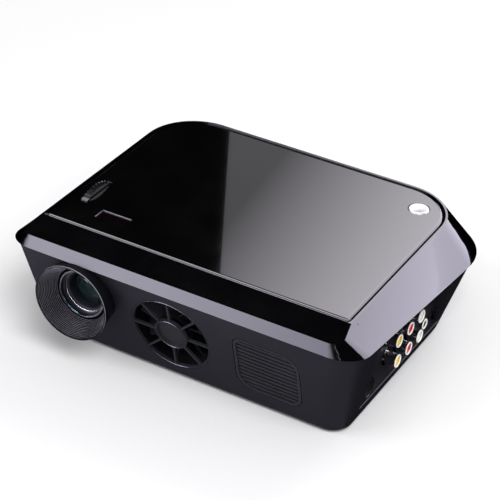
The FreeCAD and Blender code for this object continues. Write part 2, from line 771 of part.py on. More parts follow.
def make_lid():
    plate = prism(lid_outline("0", LID_UNDER), "lid_thickness")
    top = number("top_height")
    plate = rounded(plate, "lid_edge_round", lambda edge: abs(edge.CenterOfMass.z - top) < 0.01)
    skirt_bottom = f"{DECK_TOP} + seat_gap"
    skirt = cut(prism(lid_outline("-skirt_inset", skirt_bottom), f"{LID_UNDER} - ({skirt_bottom})"),
                prism(lid_outline("-skirt_inset - skirt_wall", DECK_TOP), "lid_thickness * 3"),
                block(("-lid_half", "lid_half"), ("lid_front - 5", f"{HINGE_Y} + hinge_boss_radius + 2"),
                      (DECK_TOP, LID_UNDER)))
    bosses = hinge_rods("hinge_boss_radius")
    ring_bottom = f"{LID_UNDER} - clamp_float - clamp_flange_thickness - clamp_lip_thickness - clamp_float"
    ring = cut(rod("clamp_ring", f"{LID_UNDER} - ({ring_bottom})", ("bay_x", "bay_y", ring_bottom)),
               rod("clamp_bore", "20", ("bay_x", "bay_y", f"{ring_bottom} + clamp_lip_thickness")),
               rod("clamp_radius + clamp_float", "20", ("bay_x", "bay_y", f"{ring_bottom} - 1")))
    button_hole = rod("button_radius + button_gap", "20", (BUTTON_X, BUTTON_Y, DECK_TOP))
    window_seat = block((WINDOW_LEFT, WINDOW_RIGHT), (WINDOW_FRONT, WINDOW_BACK),
                        ("top_height - window_depth - window_thickness", "top_height + 1"))
    window_light = block((f"{WINDOW_LEFT} + window_ledge", f"{WINDOW_RIGHT} - window_ledge"),
                         (f"{WINDOW_FRONT} + window_ledge", f"{WINDOW_BACK} - window_ledge"),
                         (DECK_TOP, "top_height"))
    lid = fuse(plate, skirt, *bosses)
    lid = cut(lid, button_hole, wheel_slot(), window_seat, window_light,
              *hinge_rods("hinge_pin_radius + press_gap"))
    keep(fuse(lid, ring), "disc_lid")
    pane_top = "top_height - window_depth"
    keep(block((f"{WINDOW_LEFT} + press_gap", f"{WINDOW_RIGHT} - press_gap"),
               (f"{WINDOW_FRONT} + press_gap", f"{WINDOW_BACK} - press_gap"),
               (f"{pane_top} - window_thickness", pane_top)), "infrared_window")
    keep(group(*hinge_rods("hinge_pin_radius", "hinge_pin_reach")), "hinge_pins")
    flange = f"{LID_UNDER} - clamp_float - clamp_flange_thickness"
    low = f"{HUB_SEAT} + disc_thickness + disc_gap"
    recess = "hub_nose_height - disc_thickness - disc_gap + seat_gap"
    keep(cut(fuse(rod("clamp_radius", f"{flange} - ({low})", ("bay_x", "bay_y", low)),
                  rod("clamp_flange", "clamp_flange_thickness", ("bay_x", "bay_y", flange))),
             rod("hub_nose_radius + clamp_play", recess, ("bay_x", "bay_y", low))), "disc_clamp")


def make_button_and_latch():
    flange_bottom = f"{LID_UNDER} - seat_gap - button_flange_thickness"
    turned_profile = [
        ("0", "0"),
        ("button_flange", "0"),
        ("button_flange", "button_flange_thickness"),
        ("button_radius", "button_flange_thickness"),
        ("button_radius", "button_flange_thickness + lid_thickness + seat_gap + button_proud - 0.6"),
        ("button_radius - 0.6", "button_flange_thickness + lid_thickness + seat_gap + button_proud"),
        ("button_radius - 1.6", "button_flange_thickness + lid_thickness + seat_gap + button_proud"),
        ("0", "button_flange_thickness + lid_thickness + seat_gap + button_proud - 0.5"),
    ]
    keep(turned("open_button", turned_profile, (BUTTON_X, BUTTON_Y, flange_bottom)), "open_button")
    bottom = f"{DECK_TOP} + seat_gap"
    left = f"{LATCH_X} - latch_width / 2"
    bar_front = f"{BUTTON_Y} - latch_bar_depth / 2"
    bar_back = f"{BUTTON_Y} + latch_bar_depth / 2"
    nose = "lid_back - skirt_inset - skirt_wall - seat_gap"
    level = (bottom, f"{bottom} + latch_thickness")
    slots = []
    for x, y in latch_pins():
        reach = "latch_pin_radius + seat_gap"
        slots.append(block((f"{x} - ({reach})", f"{x} + {reach}"),
                           (f"{y} - ({reach})", f"{y} + {reach} + latch_travel"),
                           (DECK_TOP, "top_height")))
    bar = block((left, f"{BUTTON_X} + button_radius"), (bar_front, bar_back), level)
    tongue = block((left, f"{LATCH_X} + latch_width / 2"), (bar_front, nose), level)
    keep(cut(fuse(bar, tongue), *slots), "lid_latch")


def latch_pins():
    return [(LATCH_X, BUTTON_Y), (f"{BUTTON_X} + latch_pin_inset", BUTTON_Y)]


def wheel_slot():
    """The room the focus wheel turns in."""
    return rod("wheel_radius + wheel_slot_gap", "wheel_width + 2 * wheel_slot_gap",
               (f"{WHEEL_X} - wheel_width / 2 - wheel_slot_gap", WHEEL_Y, WHEEL_Z), "x")


def make_deck():
    plate = prism(lid_outline("seam_gap - seat_gap", DECK_UNDER), "deck_thickness")
    bowl = rod("bay_radius + bay_wall", f"{DECK_UNDER} - {BAY_FLOOR} + bay_wall",
               ("bay_x", "bay_y", f"{BAY_FLOOR} - bay_wall"))
    hollow = rod("bay_radius", "30", ("bay_x", "bay_y", BAY_FLOOR))
    hub_hole = rod("hub_hole", "20", ("bay_x", "bay_y", f"{BAY_FLOOR} - 10"))
    reach = "(pickup_radius + pickup_gap)"
    window = block(("bay_x - 3 * pickup_radius", "bay_x + 3 * pickup_radius"),
                   (f"{PICKUP_Y} - {reach}", f"{PICKUP_Y} + sled_travel + {reach}"),
                   (f"{BAY_FLOOR} - bay_wall - 1", f"{BAY_FLOOR} + 1"))
    ears = [block((x, f"({x}) + wheel_ear"), (f"{WHEEL_Y} - wheel_ear_half", f"{WHEEL_Y} + wheel_ear_half"),
                  (f"{WHEEL_Z} - wheel_ear_half", f"{DECK_UNDER} + 1")) for x in (LEFT_EAR, RIGHT_EAR)]
    for x in RAIL_X:
        for y in (RAIL_FRONT, RAIL_BACK):
            ears.append(block((f"{x} - rail_ear_half", f"{x} + rail_ear_half"), (y, f"{y} + rail_ear"),
                              (f"{RAIL_Z} - rail_ear_half", f"{DECK_UNDER} + 1")))
    x, y = SLED_PINION_AT
    pins = [rod("rail_radius", f"{BAY_FLOOR} - bay_wall / 2 - {SLED_LOW}", (x, y, SLED_LOW))]
    pins += [rod("latch_pin_radius", "1 + seat_gap + latch_thickness", (px, py, f"{DECK_TOP} - 1"))
             for px, py in latch_pins()]
    wheel_bore = rod("wheel_pin_radius + press_gap", f"{RIGHT_EAR} + wheel_ear - {LEFT_EAR}",
                     (LEFT_EAR, WHEEL_Y, WHEEL_Z), "x")
    keep(cut(fuse(plate, bowl, *ears, *pins), hollow, hub_hole, window, wheel_slot(), wheel_bore,
             *rails("rail_radius + press_gap")), "disc_deck")


def rails(radius):
    """The two rods that the sled runs on, at a radius."""
    length = f"{RAIL_BACK} + rail_ear - {RAIL_FRONT}"
    return [rod(radius, length, (x, RAIL_FRONT, RAIL_Z), "y") for x in RAIL_X]


def make_disc_drive():
    hub = [
        ("motor_shaft + press_gap", "0"),
        ("hub_radius", "0"),
        ("hub_radius", "hub_thickness"),
        ("hub_nose_radius", "hub_thickness"),
        ("hub_nose_radius", "hub_thickness + hub_nose_height - 1"),
        ("hub_nose_radius - 1", "hub_thickness + hub_nose_height"),
        ("motor_shaft + press_gap", "hub_thickness + hub_nose_height"),
    ]
    keep(turned("disc_hub", hub, ("bay_x", "bay_y", f"{HUB_SEAT} - hub_thickness")), "disc_hub")
    plate_top = f"{BAY_FLOOR} - bay_wall"
    motor_top = f"{plate_top} - motor_plate"
    keep(pipe("motor_radius", "motor_shaft + running_gap", "motor_length",
              ("bay_x", "bay_y", f"{motor_top} - motor_length")), "spindle_motor")
    keep(rod("motor_shaft", f"{HUB_SEAT} + hub_nose_height - 1 - ({motor_top}) + motor_length",
             ("bay_x", "bay_y", f"{motor_top} - motor_length")), "spindle_shaft")
    keep(cut(block(("bay_x - hub_hole - motor_plate_reach", "bay_x + hub_hole + motor_plate_reach"),
                   ("bay_y - motor_plate_front", "bay_y + motor_plate_back"), (motor_top, plate_top)),
             rod("motor_shaft + 3", "10", ("bay_x", "bay_y", f"{motor_top} - 1"))), "motor_plate")
    keep(group(*rails("rail_radius")), "sled_rails")


def make_sled():
    body = block(("bay_x - sled_half", "bay_x + sled_half"),
                 (f"{PICKUP_Y} - sled_length / 2", f"{PICKUP_Y} + sled_length / 2"),
                 (SLED_LOW, f"{SLED_LOW} + sled_thickness"))
    tower_top = f"{BAY_FLOOR} - bay_wall - seat_gap"
    tower = rod("pickup_radius + 2.5", f"{tower_top} - {SLED_LOW}", ("bay_x", PICKUP_Y, SLED_LOW))
    teeth_past = -int(number(f"sled_travel / {TOOTH_PITCH}")) - 3
    teeth_ahead = 2
    level = f"{SLED_LOW} + seat_gap"
    bar = block((RACK_FACE, "bay_x - sled_half + 0.5"),
                (f"sled_pinion_y + {teeth_past} * {TOOTH_PITCH}",
                 f"sled_pinion_y + {teeth_ahead} * {TOOTH_PITCH}"),
                (level, f"{level} + sled_pinion_width"))
    teeth = fuse(*rack_teeth(teeth_past, teeth_ahead, "sled_pinion_width"))
    place(teeth, (f"{RACK_FACE} + 0.2", "sled_pinion_y", level), ((0, 0, 1), "90"))
    keep(fuse(cut(fuse(body, tower), *rails("rail_radius + running_gap")), bar, teeth), "pickup_sled")
    dome = doc.addObject("Part::Sphere", "dome")
    bind(dome, Radius="pickup_radius * 1.6")
    place(dome, ("bay_x", PICKUP_Y, f"{tower_top} + pickup_rise - pickup_radius * 1.6"))
    keep(common(rod("pickup_radius", "pickup_rise", ("bay_x", PICKUP_Y, tower_top)), dome), "pickup_lens")
    bore = rod("rail_radius + running_gap", "20", ("0", "0", "-5"))
    place(keep(cut(pinion("sled_pinion_width"), bore), "sled_pinion"), (*SLED_PINION_AT, level))


def make_focus_wheel():
    ribs = []
    for index in range(int(number("wheel_ribs"))):
        rib = doc.addObject("Part::Box", "rib")
        bind(rib, Length="wheel_rib_height + 1", Width="wheel_rib_width", Height="wheel_width")
        ribs.append(spoke_place(rib, "wheel_radius - wheel_rib_height - 1", "wheel_rib_width / 2",
                                f"{index} * 360 / wheel_ribs"))
    disc = rod("wheel_radius - wheel_rib_height", "wheel_width", ("0", "0", "0"))
    sides = [pipe("wheel_radius - 5", "pinion_radius + 3", "wheel_width / 2 - wheel_web / 2", ("0", "0", z))
             for z in ("0", "wheel_width / 2 + wheel_web / 2")]
    rim = cut(fuse(disc, *ribs), *sides)
    gear = pinion("focus_pinion_width + 0.5", "wheel_width - 0.5")
    bore = rod("wheel_pin_radius + running_gap", "30", ("0", "0", "-5"))
    wheel = keep(cut(fuse(rim, gear), bore), "focus_wheel")
    place(wheel, (f"{WHEEL_X} - wheel_width / 2", WHEEL_Y, WHEEL_Z), ALONG["x"])
    keep(rod("wheel_pin_radius", f"{RIGHT_EAR} + wheel_ear - {LEFT_EAR}",
             (LEFT_EAR, WHEEL_Y, WHEEL_Z), "x"), "wheel_pin")


def make_lens():
    steps = int(number("hood_steps"))
    slope_length = "(hood_length - hood_throat_length)"
    mouth = "(hood_radius - hood_rim)"
    profile = [("hood_radius", "0"), ("hood_rear_radius", "hood_length"), ("hood_throat", "hood_length")]
    for index in range(steps, 0, -1):
        height = f"{index} * {slope_length} / hood_steps"
        profile.append((f"{mouth} - {index} * ({mouth} - hood_throat) / hood_steps", height))
        profile.append((f"{mouth} - {index - 1} * ({mouth} - hood_throat) / hood_steps", height))
    profile.append((mouth, "0"))
    keep(turned("lens_hood", profile, (LENS_X, HOOD_MOUTH, LENS_Z), "y"), "lens_hood")
    bore = "barrel_radius + running_gap"
    tube = rod(f"{bore} + guide_wall", "guide_length", (LENS_X, HOOD_REAR, LENS_Z), "y")
    pedestal = block((f"{LENS_X} - pedestal_half", f"{LENS_X} + pedestal_half"),
                     (f"{HOOD_REAR} + guide_length - pedestal_length", f"{HOOD_REAR} + guide_length"),
                     (FLOOR, f"{LENS_Z} - barrel_radius"))
    hollow = rod(bore, "guide_length + 2", (LENS_X, f"{HOOD_REAR} - 1", LENS_Z), "y")
    slot = block((f"{LENS_X} - barrel_radius - guide_wall - 6", f"{LENS_X} - barrel_radius / 2"),
                 (f"{BARREL_STEP} - 2", f"{HOOD_REAR} + guide_length + 2"),
                 (f"{LENS_Z} - guide_slot_half", f"{LENS_Z} + guide_slot_half * 2"))
    keep(cut(fuse(tube, pedestal), hollow, slot), "lens_guide")
    barrel = [
        ("barrel_front_radius", "0"),
        ("barrel_front_radius", "barrel_front_length"),
        ("barrel_radius", "barrel_front_length"),
        ("barrel_radius", "barrel_front_length + barrel_rear_length"),
        ("barrel_bore", "barrel_front_length + barrel_rear_length"),
    ]
    # The nose narrows to the lens in steps, which keep stray light off the picture.
    for index in range(int(number("nose_steps")), 0, -1):
        height = f"{index} * nose_depth / nose_steps"
        for ledge in (index, index - 1):
            barrel.append((f"trim_inner - {ledge} * (trim_inner - barrel_bore) / nose_steps", height))
    barrel.append(("trim_inner", "0"))
    tube = turned("barrel_tube", barrel, (LENS_X, BARREL_FRONT, LENS_Z), "y")
    rack_top = f"({WHEEL_Z} - pinion_radius - tooth_depth + 0.2)"
    rack_x = f"{WHEEL_X} + wheel_width / 2"
    arm = block((rack_x, f"{LENS_X} - barrel_radius + 2.5"), (f"{WHEEL_Y} - 10", f"{WHEEL_Y} + 10"),
                (f"{LENS_Z} - 2", rack_top))
    teeth = fuse(*rack_teeth(-3, 3, "focus_pinion_width"))
    place(teeth, (rack_x, WHEEL_Y, f"{rack_top} - 0.2"), ((1, 1, 1), "120"))
    keep(fuse(tube, arm, teeth), "lens_barrel")
    trim = [
        ("trim_inner", "0"),
        ("barrel_front_radius - 0.4", "0"),
        ("barrel_front_radius", "0.4"),
        ("barrel_front_radius", "trim_thickness"),
        ("trim_inner", "trim_thickness"),
    ]
    keep(turned("lens_ring", trim, (LENS_X, f"{BARREL_FRONT} - trim_thickness", LENS_Z), "y"),
         "lens_ring")
    keep(lens_shape("barrel_bore - press_gap", "lens_thickness", "lens_curve",
                    (LENS_X, f"{BARREL_FRONT} + nose_depth + lens_inset", LENS_Z), "y"), "front_lens")
    keep(lens_shape("barrel_bore - press_gap", "lens_thickness", "lens_curve",
                    (LENS_X, f"{BARREL_REAR} - lens_inset", LENS_Z), "-y"), "rear_lens")


def tunnel_box(half, height_half, front, back, inset="0"):
    return block((f"{LENS_X} - {half} + ({inset})", f"{LENS_X} + {half} - ({inset})"), (front, back),
                 (f"{LENS_Z} - {height_half} + ({inset})", f"{LENS_Z} + {height_half} - ({inset})"))


def make_optics():
    outer = [tunnel_box("tunnel_neck_half", "tunnel_neck_half", "tunnel_neck_front", "tunnel_front + 1"),
             tunnel_box("tunnel_half", "tunnel_height_half", "tunnel_front", "tunnel_back")]
    legs = [block((f"{LENS_X} - tunnel_half", f"{LENS_X} + tunnel_half"), (y, f"{y} + 4"),
                  (FLOOR, f"{LENS_Z} - tunnel_height_half + 1"))
            for y in ("tunnel_front", "tunnel_back - 4")]
    inner = [tunnel_box("tunnel_neck_half", "tunnel_neck_half", "tunnel_neck_front + tunnel_wall",
                        "tunnel_front + 2", "tunnel_wall"),
             tunnel_box("tunnel_half", "tunnel_height_half", "tunnel_front + tunnel_wall", "tunnel_back + 1",
                        "tunnel_wall")]
    hole = rod("tunnel_hole", "20", (LENS_X, "tunnel_neck_front - 5", LENS_Z), "y")
    keep(cut(fuse(*outer, *legs), *inner, hole), "optics_tunnel")
    for label, y in (("front_field_lens", "field_front_y"), ("image_panel", "panel_y"),
                     ("rear_field_lens", "field_back_y")):
        keep(tunnel_box("tunnel_half", "tunnel_height_half", y, f"{y} + plate_thickness",
                        "tunnel_wall + press_gap"), label)
    frame = tunnel_box("tunnel_half", "tunnel_height_half", "condenser_y", "condenser_y + plate_thickness",
                       "tunnel_wall + press_gap")
    seat = rod("condenser_radius + press_gap", "20", (LENS_X, "condenser_y - 5", LENS_Z), "y")
    keep(cut(frame, seat), "condenser_holder")
    keep(lens_shape("condenser_radius", "condenser_thickness", "condenser_curve",
                    (LENS_X, "condenser_y - condenser_thickness / 2", LENS_Z), "y"),
         "condenser_lens")
    sink_front = "(tunnel_back + press_gap)"
    sides = (f"{LENS_Z} - tunnel_height_half", f"{LENS_Z} + tunnel_height_half")
    board_front = "tunnel_back - lamp_board"
    keep(fuse(tunnel_box("(tunnel_half - 6)", "(tunnel_height_half - 4)", board_front, "tunnel_back"),
              rod("lamp_radius", "lamp_height", (LENS_X, f"{board_front} - lamp_height", LENS_Z),
                  "y")), "lamp_module")
    fins = []
    for index in range(int(number("sink_fins"))):
        x = f"{LENS_X} - tunnel_half + {index} * (2 * tunnel_half - sink_fin) / (sink_fins - 1)"
        fins.append(block((x, f"{x} + sink_fin"),
                          (f"{sink_front} + sink_base - 0.5", f"{sink_front} + sink_depth"), sides))
    base = tunnel_box("tunnel_half", "tunnel_height_half", sink_front, f"{sink_front} + sink_base")
    keep(fuse(base, *fins), "lamp_heat_sink")


def make_fan():
    spokes = []
    for index in range(int(number("grille_spokes"))):
        spoke = doc.addObject("Part::Box", "spoke")
        bind(spoke, Length=f"{GRILLE} - grille_rim / 2 - grille_hub + grille_hub_wall / 2",
             Width="grille_spoke", Height="grille_depth - 0.4")
        spokes.append(spoke_place(spoke, "grille_hub - grille_hub_wall / 2", "grille_spoke / 2",
                                  f"{index} * 360 / grille_spokes"))
    rim = pipe(f"{GRILLE} - seat_gap", f"{GRILLE} - seat_gap - grille_rim", "grille_depth",
               ("0", "0", "0"))
    dish = cut(rod("grille_hub", "grille_depth", ("0", "0", "0")),
               rod("grille_hub - grille_hub_wall", "grille_depth", ("0", "0", "grille_depth - grille_dish")))
    on_front(keep(fuse(rim, dish, *spokes), "fan_grille"), "fan_x", FAN_UP, "-grille_depth")
    bolt = f"{FAN_HALF} - 4"
    bore = cut(rod(FAN_BORE, "fan_depth * 2", ("0", "0", "-1")), rod("fan_hub", "3", ("0", "0", "-1")),
               block((f"-{FAN_HALF}", FAN_HALF), ("-fan_arm / 2", "fan_arm / 2"), ("-1", "fan_arm / 2")),
               block(("-fan_arm / 2", "fan_arm / 2"), (f"-{FAN_HALF}", FAN_HALF), ("-1", "fan_arm / 2")))
    screws = [rod("screw_radius", "fan_depth * 2", (x, y, "-1")) for x in (f"-({bolt})", bolt)
              for y in (f"-({bolt})", bolt)]
    square = block((f"-{FAN_HALF}", FAN_HALF), (f"-{FAN_HALF}", FAN_HALF), ("0", "fan_depth"))
    axle = rod("fan_axle", "fan_depth - 3", ("0", "0", "0"))
    back = "-wall - seat_gap - fan_depth"
    on_front(keep(fuse(cut(square, bore, *screws), axle), "fan_frame"), "fan_x", FAN_UP, back)
    blades = []
    count = int(number("fan_blades"))
    for index in range(count):
        blade = doc.addObject("Part::Box", "blade")
        bind(blade, Length=BLADE_LENGTH, Width="blade_chord", Height="blade_thickness")
        spin = Rotation(Vector(0, 0, 1), index * 360 / count)
        tilt = Rotation(Vector(1, 0, 0), number("blade_pitch"))
        start = Vector(number("fan_hub - 0.6"), number("-blade_chord * cos(blade_pitch) / 2"), number(
            "fan_depth / 2 - blade_chord * sin(blade_pitch) / 2"))
        blade.Placement = Placement(spin.multVec(start), spin.multiply(tilt))
        blades.append(blade)
    hub = cut(rod("fan_hub", "fan_depth - 4.5", ("0", "0", "2.5")),
              rod("fan_axle + running_gap", "fan_depth - 4", ("0", "0", "1")))
    on_front(keep(fuse(hub, *blades), "fan_rotor"), "fan_x", FAN_UP, back)


def make_speaker():
    outer = prism(speaker_outline("speaker_groove"), "grille_depth")
    hole = prism(speaker_outline("speaker_groove + speaker_frame"), "grille_depth * 2")
    slats = []
    count = int(number(f"({SPEAKER_TOP} - speaker_low - 2 * speaker_frame) / slat_pitch"))
    for index in range(count):
        low = f"speaker_low + speaker_frame + slat_pitch * ({index} + 0.5)"
        slats.append(block((f"{SPEAKER_LEFT} + 0.8", f"{SPEAKER_RIGHT} - 0.8"),
                           (low, f"{low} + slat_height"), ("0", "slat_depth")))
    frame = cut(outer, hole)
    filler = prism(speaker_outline("speaker_groove + speaker_frame / 2"), "slat_depth")
    grille = keep(fuse(frame, common(filler, fuse(*slats))), "speaker_grille")
    on_front(grille, "0", "0", "-grille_depth")
    middle = (f"({SPEAKER_LEFT} + {SPEAKER_RIGHT}) / 2", f"(speaker_low + {SPEAKER_TOP}) / 2")
    basket = [
        (CONE_RADIUS, "0"),
        (CONE_RADIUS, "-cone_thickness - 0.4"),
        ("magnet_radius", "-speaker_depth"),
        ("0", "-speaker_depth"),
        ("0", "-speaker_depth - magnet_depth"),
        ("magnet_radius + 2", "-speaker_depth - magnet_depth"),
        ("magnet_radius + 2", "-speaker_depth"),
        (SPEAKER_RADIUS, "-speaker_rim"),
        (SPEAKER_RADIUS, "0"),
    ]
    seat = "-wall - seat_gap"
    on_front(keep(turned("speaker_basket", basket, ("0", "0", "0")), "speaker_basket"), *middle, seat)
    cone = [
        ("0", "-cone_depth"),
        (f"{CONE_RADIUS} / 3", "-cone_depth"),
        (f"{CONE_RADIUS} - press_gap", "-cone_thickness"),
        (f"{CONE_RADIUS} - press_gap", "0"),
        (f"{CONE_RADIUS} / 3", "cone_thickness - cone_depth"),
        ("0", "cone_thickness - cone_depth"),
    ]
    on_front(keep(turned("speaker_cone", cone, ("0", "0", "0")), "speaker_cone"), *middle, seat)


def rca_places():
    """Each socket with its colour: yellow, red and white from front to back, on two levels."""
    return [(colour, f"{RCA_FIRST} + {column} * rca_pitch", f"rca_low + {level} * rca_rise")
            for level in range(2) for column, colour in enumerate(("yellow", "red", "white"))]


def make_sockets(tub):
    back = f"{PANEL_FACE} - panel_thickness"
    tray = common(tub, block((back, "lip_half"), (f"{BAY_FRONT} + seat_gap", f"{BAY_REAR} - seat_gap"),
                             ("bay_bottom + seat_gap", "top_height")))
    recess = cut(block((PANEL_FACE, "lip_half + 5"),
                       (f"{BAY_FRONT} + panel_edge", f"{BAY_REAR} - panel_edge"),
                       ("bay_bottom + panel_edge", "top_height")), below_lip("panel_edge"))
    holes = [rod("rca_tail + seat_gap", "10", (f"{PANEL_FACE} - 5", y, z), "x") for _, y, z in rca_places()]
    holes += [rod("small_jack_body + seat_gap", "10", (f"{PANEL_FACE} - 5", y, "small_jack_height"), "x")
              for y in (PHONES_Y, SIGNAL_Y)]
    holes.append(rod("inlet_cup + seat_gap", "10", (f"{PANEL_FACE} - 5", INLET_Y, "inlet_height"), "x"))
    keep(cut(tray, recess, *holes), "socket_panel")
    board_face = f"{JACK_BOARD} + board_thickness"
    sleeves = []
    for _, y, z in rca_places():
        tail = rod("rca_tail", f"{PANEL_FACE} + 1 - ({board_face})", (board_face, y, z), "x")
        flange = rod("rca_flange", "rca_flange_thickness", (PANEL_FACE, y, z), "x")
        sleeve = rod("rca_radius", "rca_reach", (PANEL_FACE, y, z), "x")
        bore = rod("rca_bore", "rca_reach + 2", (f"{PANEL_FACE} - 1.5", y, z), "x")
        sleeves.append(cut(fuse(tail, flange, sleeve), bore))
    keep(group(*sleeves), "rca_sleeves")
    for colour in ("yellow", "red", "white"):
        cores = [pipe("rca_bore - press_gap", "rca_core_bore", "rca_reach + 1.5 - rca_core_inset",
                      (f"{PANEL_FACE} - 1.5", y, z), "x") for tint, y, z in rca_places() if tint == colour]
        keep(group(*cores), f"rca_cores_{colour}")
    for label, y in (("phones_jack", PHONES_Y), ("signal_jack", SIGNAL_Y)):
        body = rod("small_jack_body", f"{PANEL_FACE} + 0.5 - ({board_face})",
                   (board_face, y, "small_jack_height"), "x")
        ring = rod("small_jack_ring", "jack_proud", (PANEL_FACE, y, "small_jack_height"), "x")
        bore = rod("small_jack_bore", "20", (f"{board_face} + 1.5", y, "small_jack_height"), "x")
        keep(cut(fuse(body, ring), bore), label)
    at = (INLET_Y, "inlet_height")
    body = fuse(rod("inlet_cup", f"{PANEL_FACE} + 0.5 - ({board_face})", (board_face, *at), "x"),
                rod("inlet_ring", "jack_proud", (PANEL_FACE, *at), "x"))
    cup = rod("inlet_cup - 0.8", "10", (f"{PANEL_FACE} + jack_proud - inlet_cup_depth", *at), "x")
    bore = rod("inlet_bore", "20", (f"{board_face} + 1.2", *at), "x")
    pin = rod("inlet_pin", f"{PANEL_FACE} - 1 - ({board_face})", (board_face, *at), "x")
    keep(fuse(cut(body, cup, bore), pin), "power_inlet")
    keep(block((JACK_BOARD, board_face), (f"{BAY_FRONT} + 4", f"{BAY_REAR} - 2"),
               (FLOOR, "rca_low + rca_rise + 8")), "socket_board")


def make_main_board():
    top = "board_height + board_thickness"
    board = block(("board_left", BOARD_RIGHT), (BOARD_FRONT, BOARD_BACK), ("board_height", top))
    # Each chip: its share of the way along the board and across it, its side and its height.
    chips = [(0.41, 0.43, 1.0, 1.0), (0.66, 0.62, 0.73, 0.73), (0.18, 0.72, 0.64, 0.73),
             (0.75, 0.26, 0.55, 3.64), (0.13, 0.22, 0.73, 4.55), (0.87, 0.81, 0.41, 5.45)]
    fitted = []
    for along, across, side, tall in chips:
        x = f"board_left + {along} * ({BOARD_RIGHT} - board_left)"
        y = f"{BOARD_FRONT} + {across} * ({BOARD_BACK} - {BOARD_FRONT})"
        fitted.append(block((x, f"{x} + {side} * chip_side"), (y, f"{y} + {side} * chip_side"),
                            (f"{top} - 0.2", f"{top} + {tall} * chip_height")))
    fitted += [rod("capacitor_radius", "capacitor_height",
                   (f"board_left + {index + 1.8} * capacitor_pitch", f"{BOARD_FRONT} + capacitor_pitch",
                    f"{top} - 0.2")) for index in range(5)]
    keep(fuse(board, *fitted), "main_board")


def make_fixings():
    feet = [rod("foot_radius", "base_height", (x, y, "0")) for x in (f"-{FOOT_X}", FOOT_X)
            for y in (FOOT_FRONT, FOOT_BACK)]
    keep(group(*feet), "rubber_feet")
    screws = []
    seat = "base_height + screw_recess"
    low = f"{seat} - screw_head_height"
    for x, y in screw_places():
        shank = rod("screw_radius", "screw_length - 1", (x, y, seat))
        head = rod("screw_head", "screw_head_height", (x, y, low))
        cross = [block((f"{x} - {wide}", f"{x} + {wide}"), (f"{y} - {deep}", f"{y} + {deep}"),
                       (f"{low} - 1", f"{low} + 1")) for wide, deep in ((2, 0.4), (0.4, 2))]
        screws.append(cut(fuse(shank, head), *cross))
    keep(group(*screws), "case_screws")
    window_x = f"({WINDOW_LEFT} + {WINDOW_RIGHT}) / 2"
    window_y = f"({WINDOW_FRONT} + {WINDOW_BACK}) / 2"
    keep(fuse(block((f"{window_x} - 8", f"{window_x} + 8"), (f"{window_y} - 4", f"{window_y} + 4"),
                    (DECK_TOP, f"{DECK_TOP} + 1.2")),
              rod("2.4", "3.2", (window_x, window_y, DECK_TOP))), "infrared_sensor")


tub_blank = make_lower_shell()
make_upper_shell()
make_lid()
make_button_and_latch()
make_deck()
make_disc_drive()
make_sled()
make_focus_wheel()
make_lens()
make_optics()
make_fan()
make_speaker()
make_sockets(tub_blank)
make_main_board()
make_fixings()
doc.recompute()

for thing in doc.Objects:
    if {"Invalid", "Error"} & set(thing.State):
        raise RuntimeError(f"{thing.Name} ({thing.Label}) failed: {thing.State}")
for thing in KEPT:
    if thing.Shape.isNull() or not thing.Shape.isValid():
        raise RuntimeError(f"{thing.Label} has no valid shape")

os.makedirs("parts", exist_ok=True)
for thing in KEPT:
    thing.Shape.exportStep(f"parts/{thing.Label}.step")
    print(f"{thing.Label}: {len(thing.Shape.Solids)} solid, {thing.Shape.Volume:.0f} mm3")
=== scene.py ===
# %% [markdown]
# # Dressing a table-top projector
# The solids of this projector come ready made: two shells, a lid, a lens and everything inside. This
# lesson gives each of them a finish that behaves like the real one, adds a few pieces that are too
# fine for the solids, and sets up a small photo studio with a camera. Lengths are in metres, X runs
# from the lens side to the socket side, the front faces -Y, and Z is up.

import json
import math

import bmesh
import bpy
from mathutils import Matrix, Vector


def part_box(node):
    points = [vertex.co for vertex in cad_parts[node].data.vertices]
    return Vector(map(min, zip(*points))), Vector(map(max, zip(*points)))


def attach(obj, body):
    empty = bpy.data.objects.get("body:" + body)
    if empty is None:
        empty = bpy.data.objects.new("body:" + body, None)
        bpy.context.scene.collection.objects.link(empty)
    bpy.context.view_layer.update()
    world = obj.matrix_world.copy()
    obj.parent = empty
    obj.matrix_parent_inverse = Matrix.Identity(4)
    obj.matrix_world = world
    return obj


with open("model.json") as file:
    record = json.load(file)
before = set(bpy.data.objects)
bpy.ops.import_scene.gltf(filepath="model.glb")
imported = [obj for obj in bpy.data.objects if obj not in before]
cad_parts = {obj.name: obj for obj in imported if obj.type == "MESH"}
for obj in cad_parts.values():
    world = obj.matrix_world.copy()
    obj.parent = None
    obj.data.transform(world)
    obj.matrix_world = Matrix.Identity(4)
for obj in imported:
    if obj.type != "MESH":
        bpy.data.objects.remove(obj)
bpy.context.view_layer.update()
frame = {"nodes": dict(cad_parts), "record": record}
nodes = frame["nodes"]
slot_of = {part["node"]: part["material_slot"] for part in frame["record"]["subparts"]}

# %% [markdown]
# ## Helpers for shader nodes
# A material in Blender is a small graph. Writing each link by hand makes long cells, so a few helpers
# keep the later ones short. One adds a node and fills its sockets, others start a material or a node
# group, and the last three do sums, mix two colours and map one range of values to another.

# %% Node helpers
def fill(tree, socket, value):
    """Link another node's output to a socket, or set the socket to a plain value."""
    if isinstance(value, bpy.types.NodeSocket):
        tree.links.new(value, socket)
    else:
        socket.default_value = value


def add(tree, kind, at=(0, 0), **fills):
    """Add a node. A fill is a socket's value, or another node's output socket to link from."""
    node = tree.nodes.new(kind)
    node.location = at
    for name, value in fills.items():
        socket = name.replace("_", " ")
        if hasattr(node, name) and socket not in node.inputs:
            setattr(node, name, value)
        else:
            fill(tree, node.inputs[socket], value)
    return node


def start_material(name):
    """A material with an empty graph but for its output and its Principled BSDF."""
    material = bpy.data.materials.new(name)
    material.use_nodes = True
    tree = material.node_tree
    return material, tree, tree.nodes["Principled BSDF"]


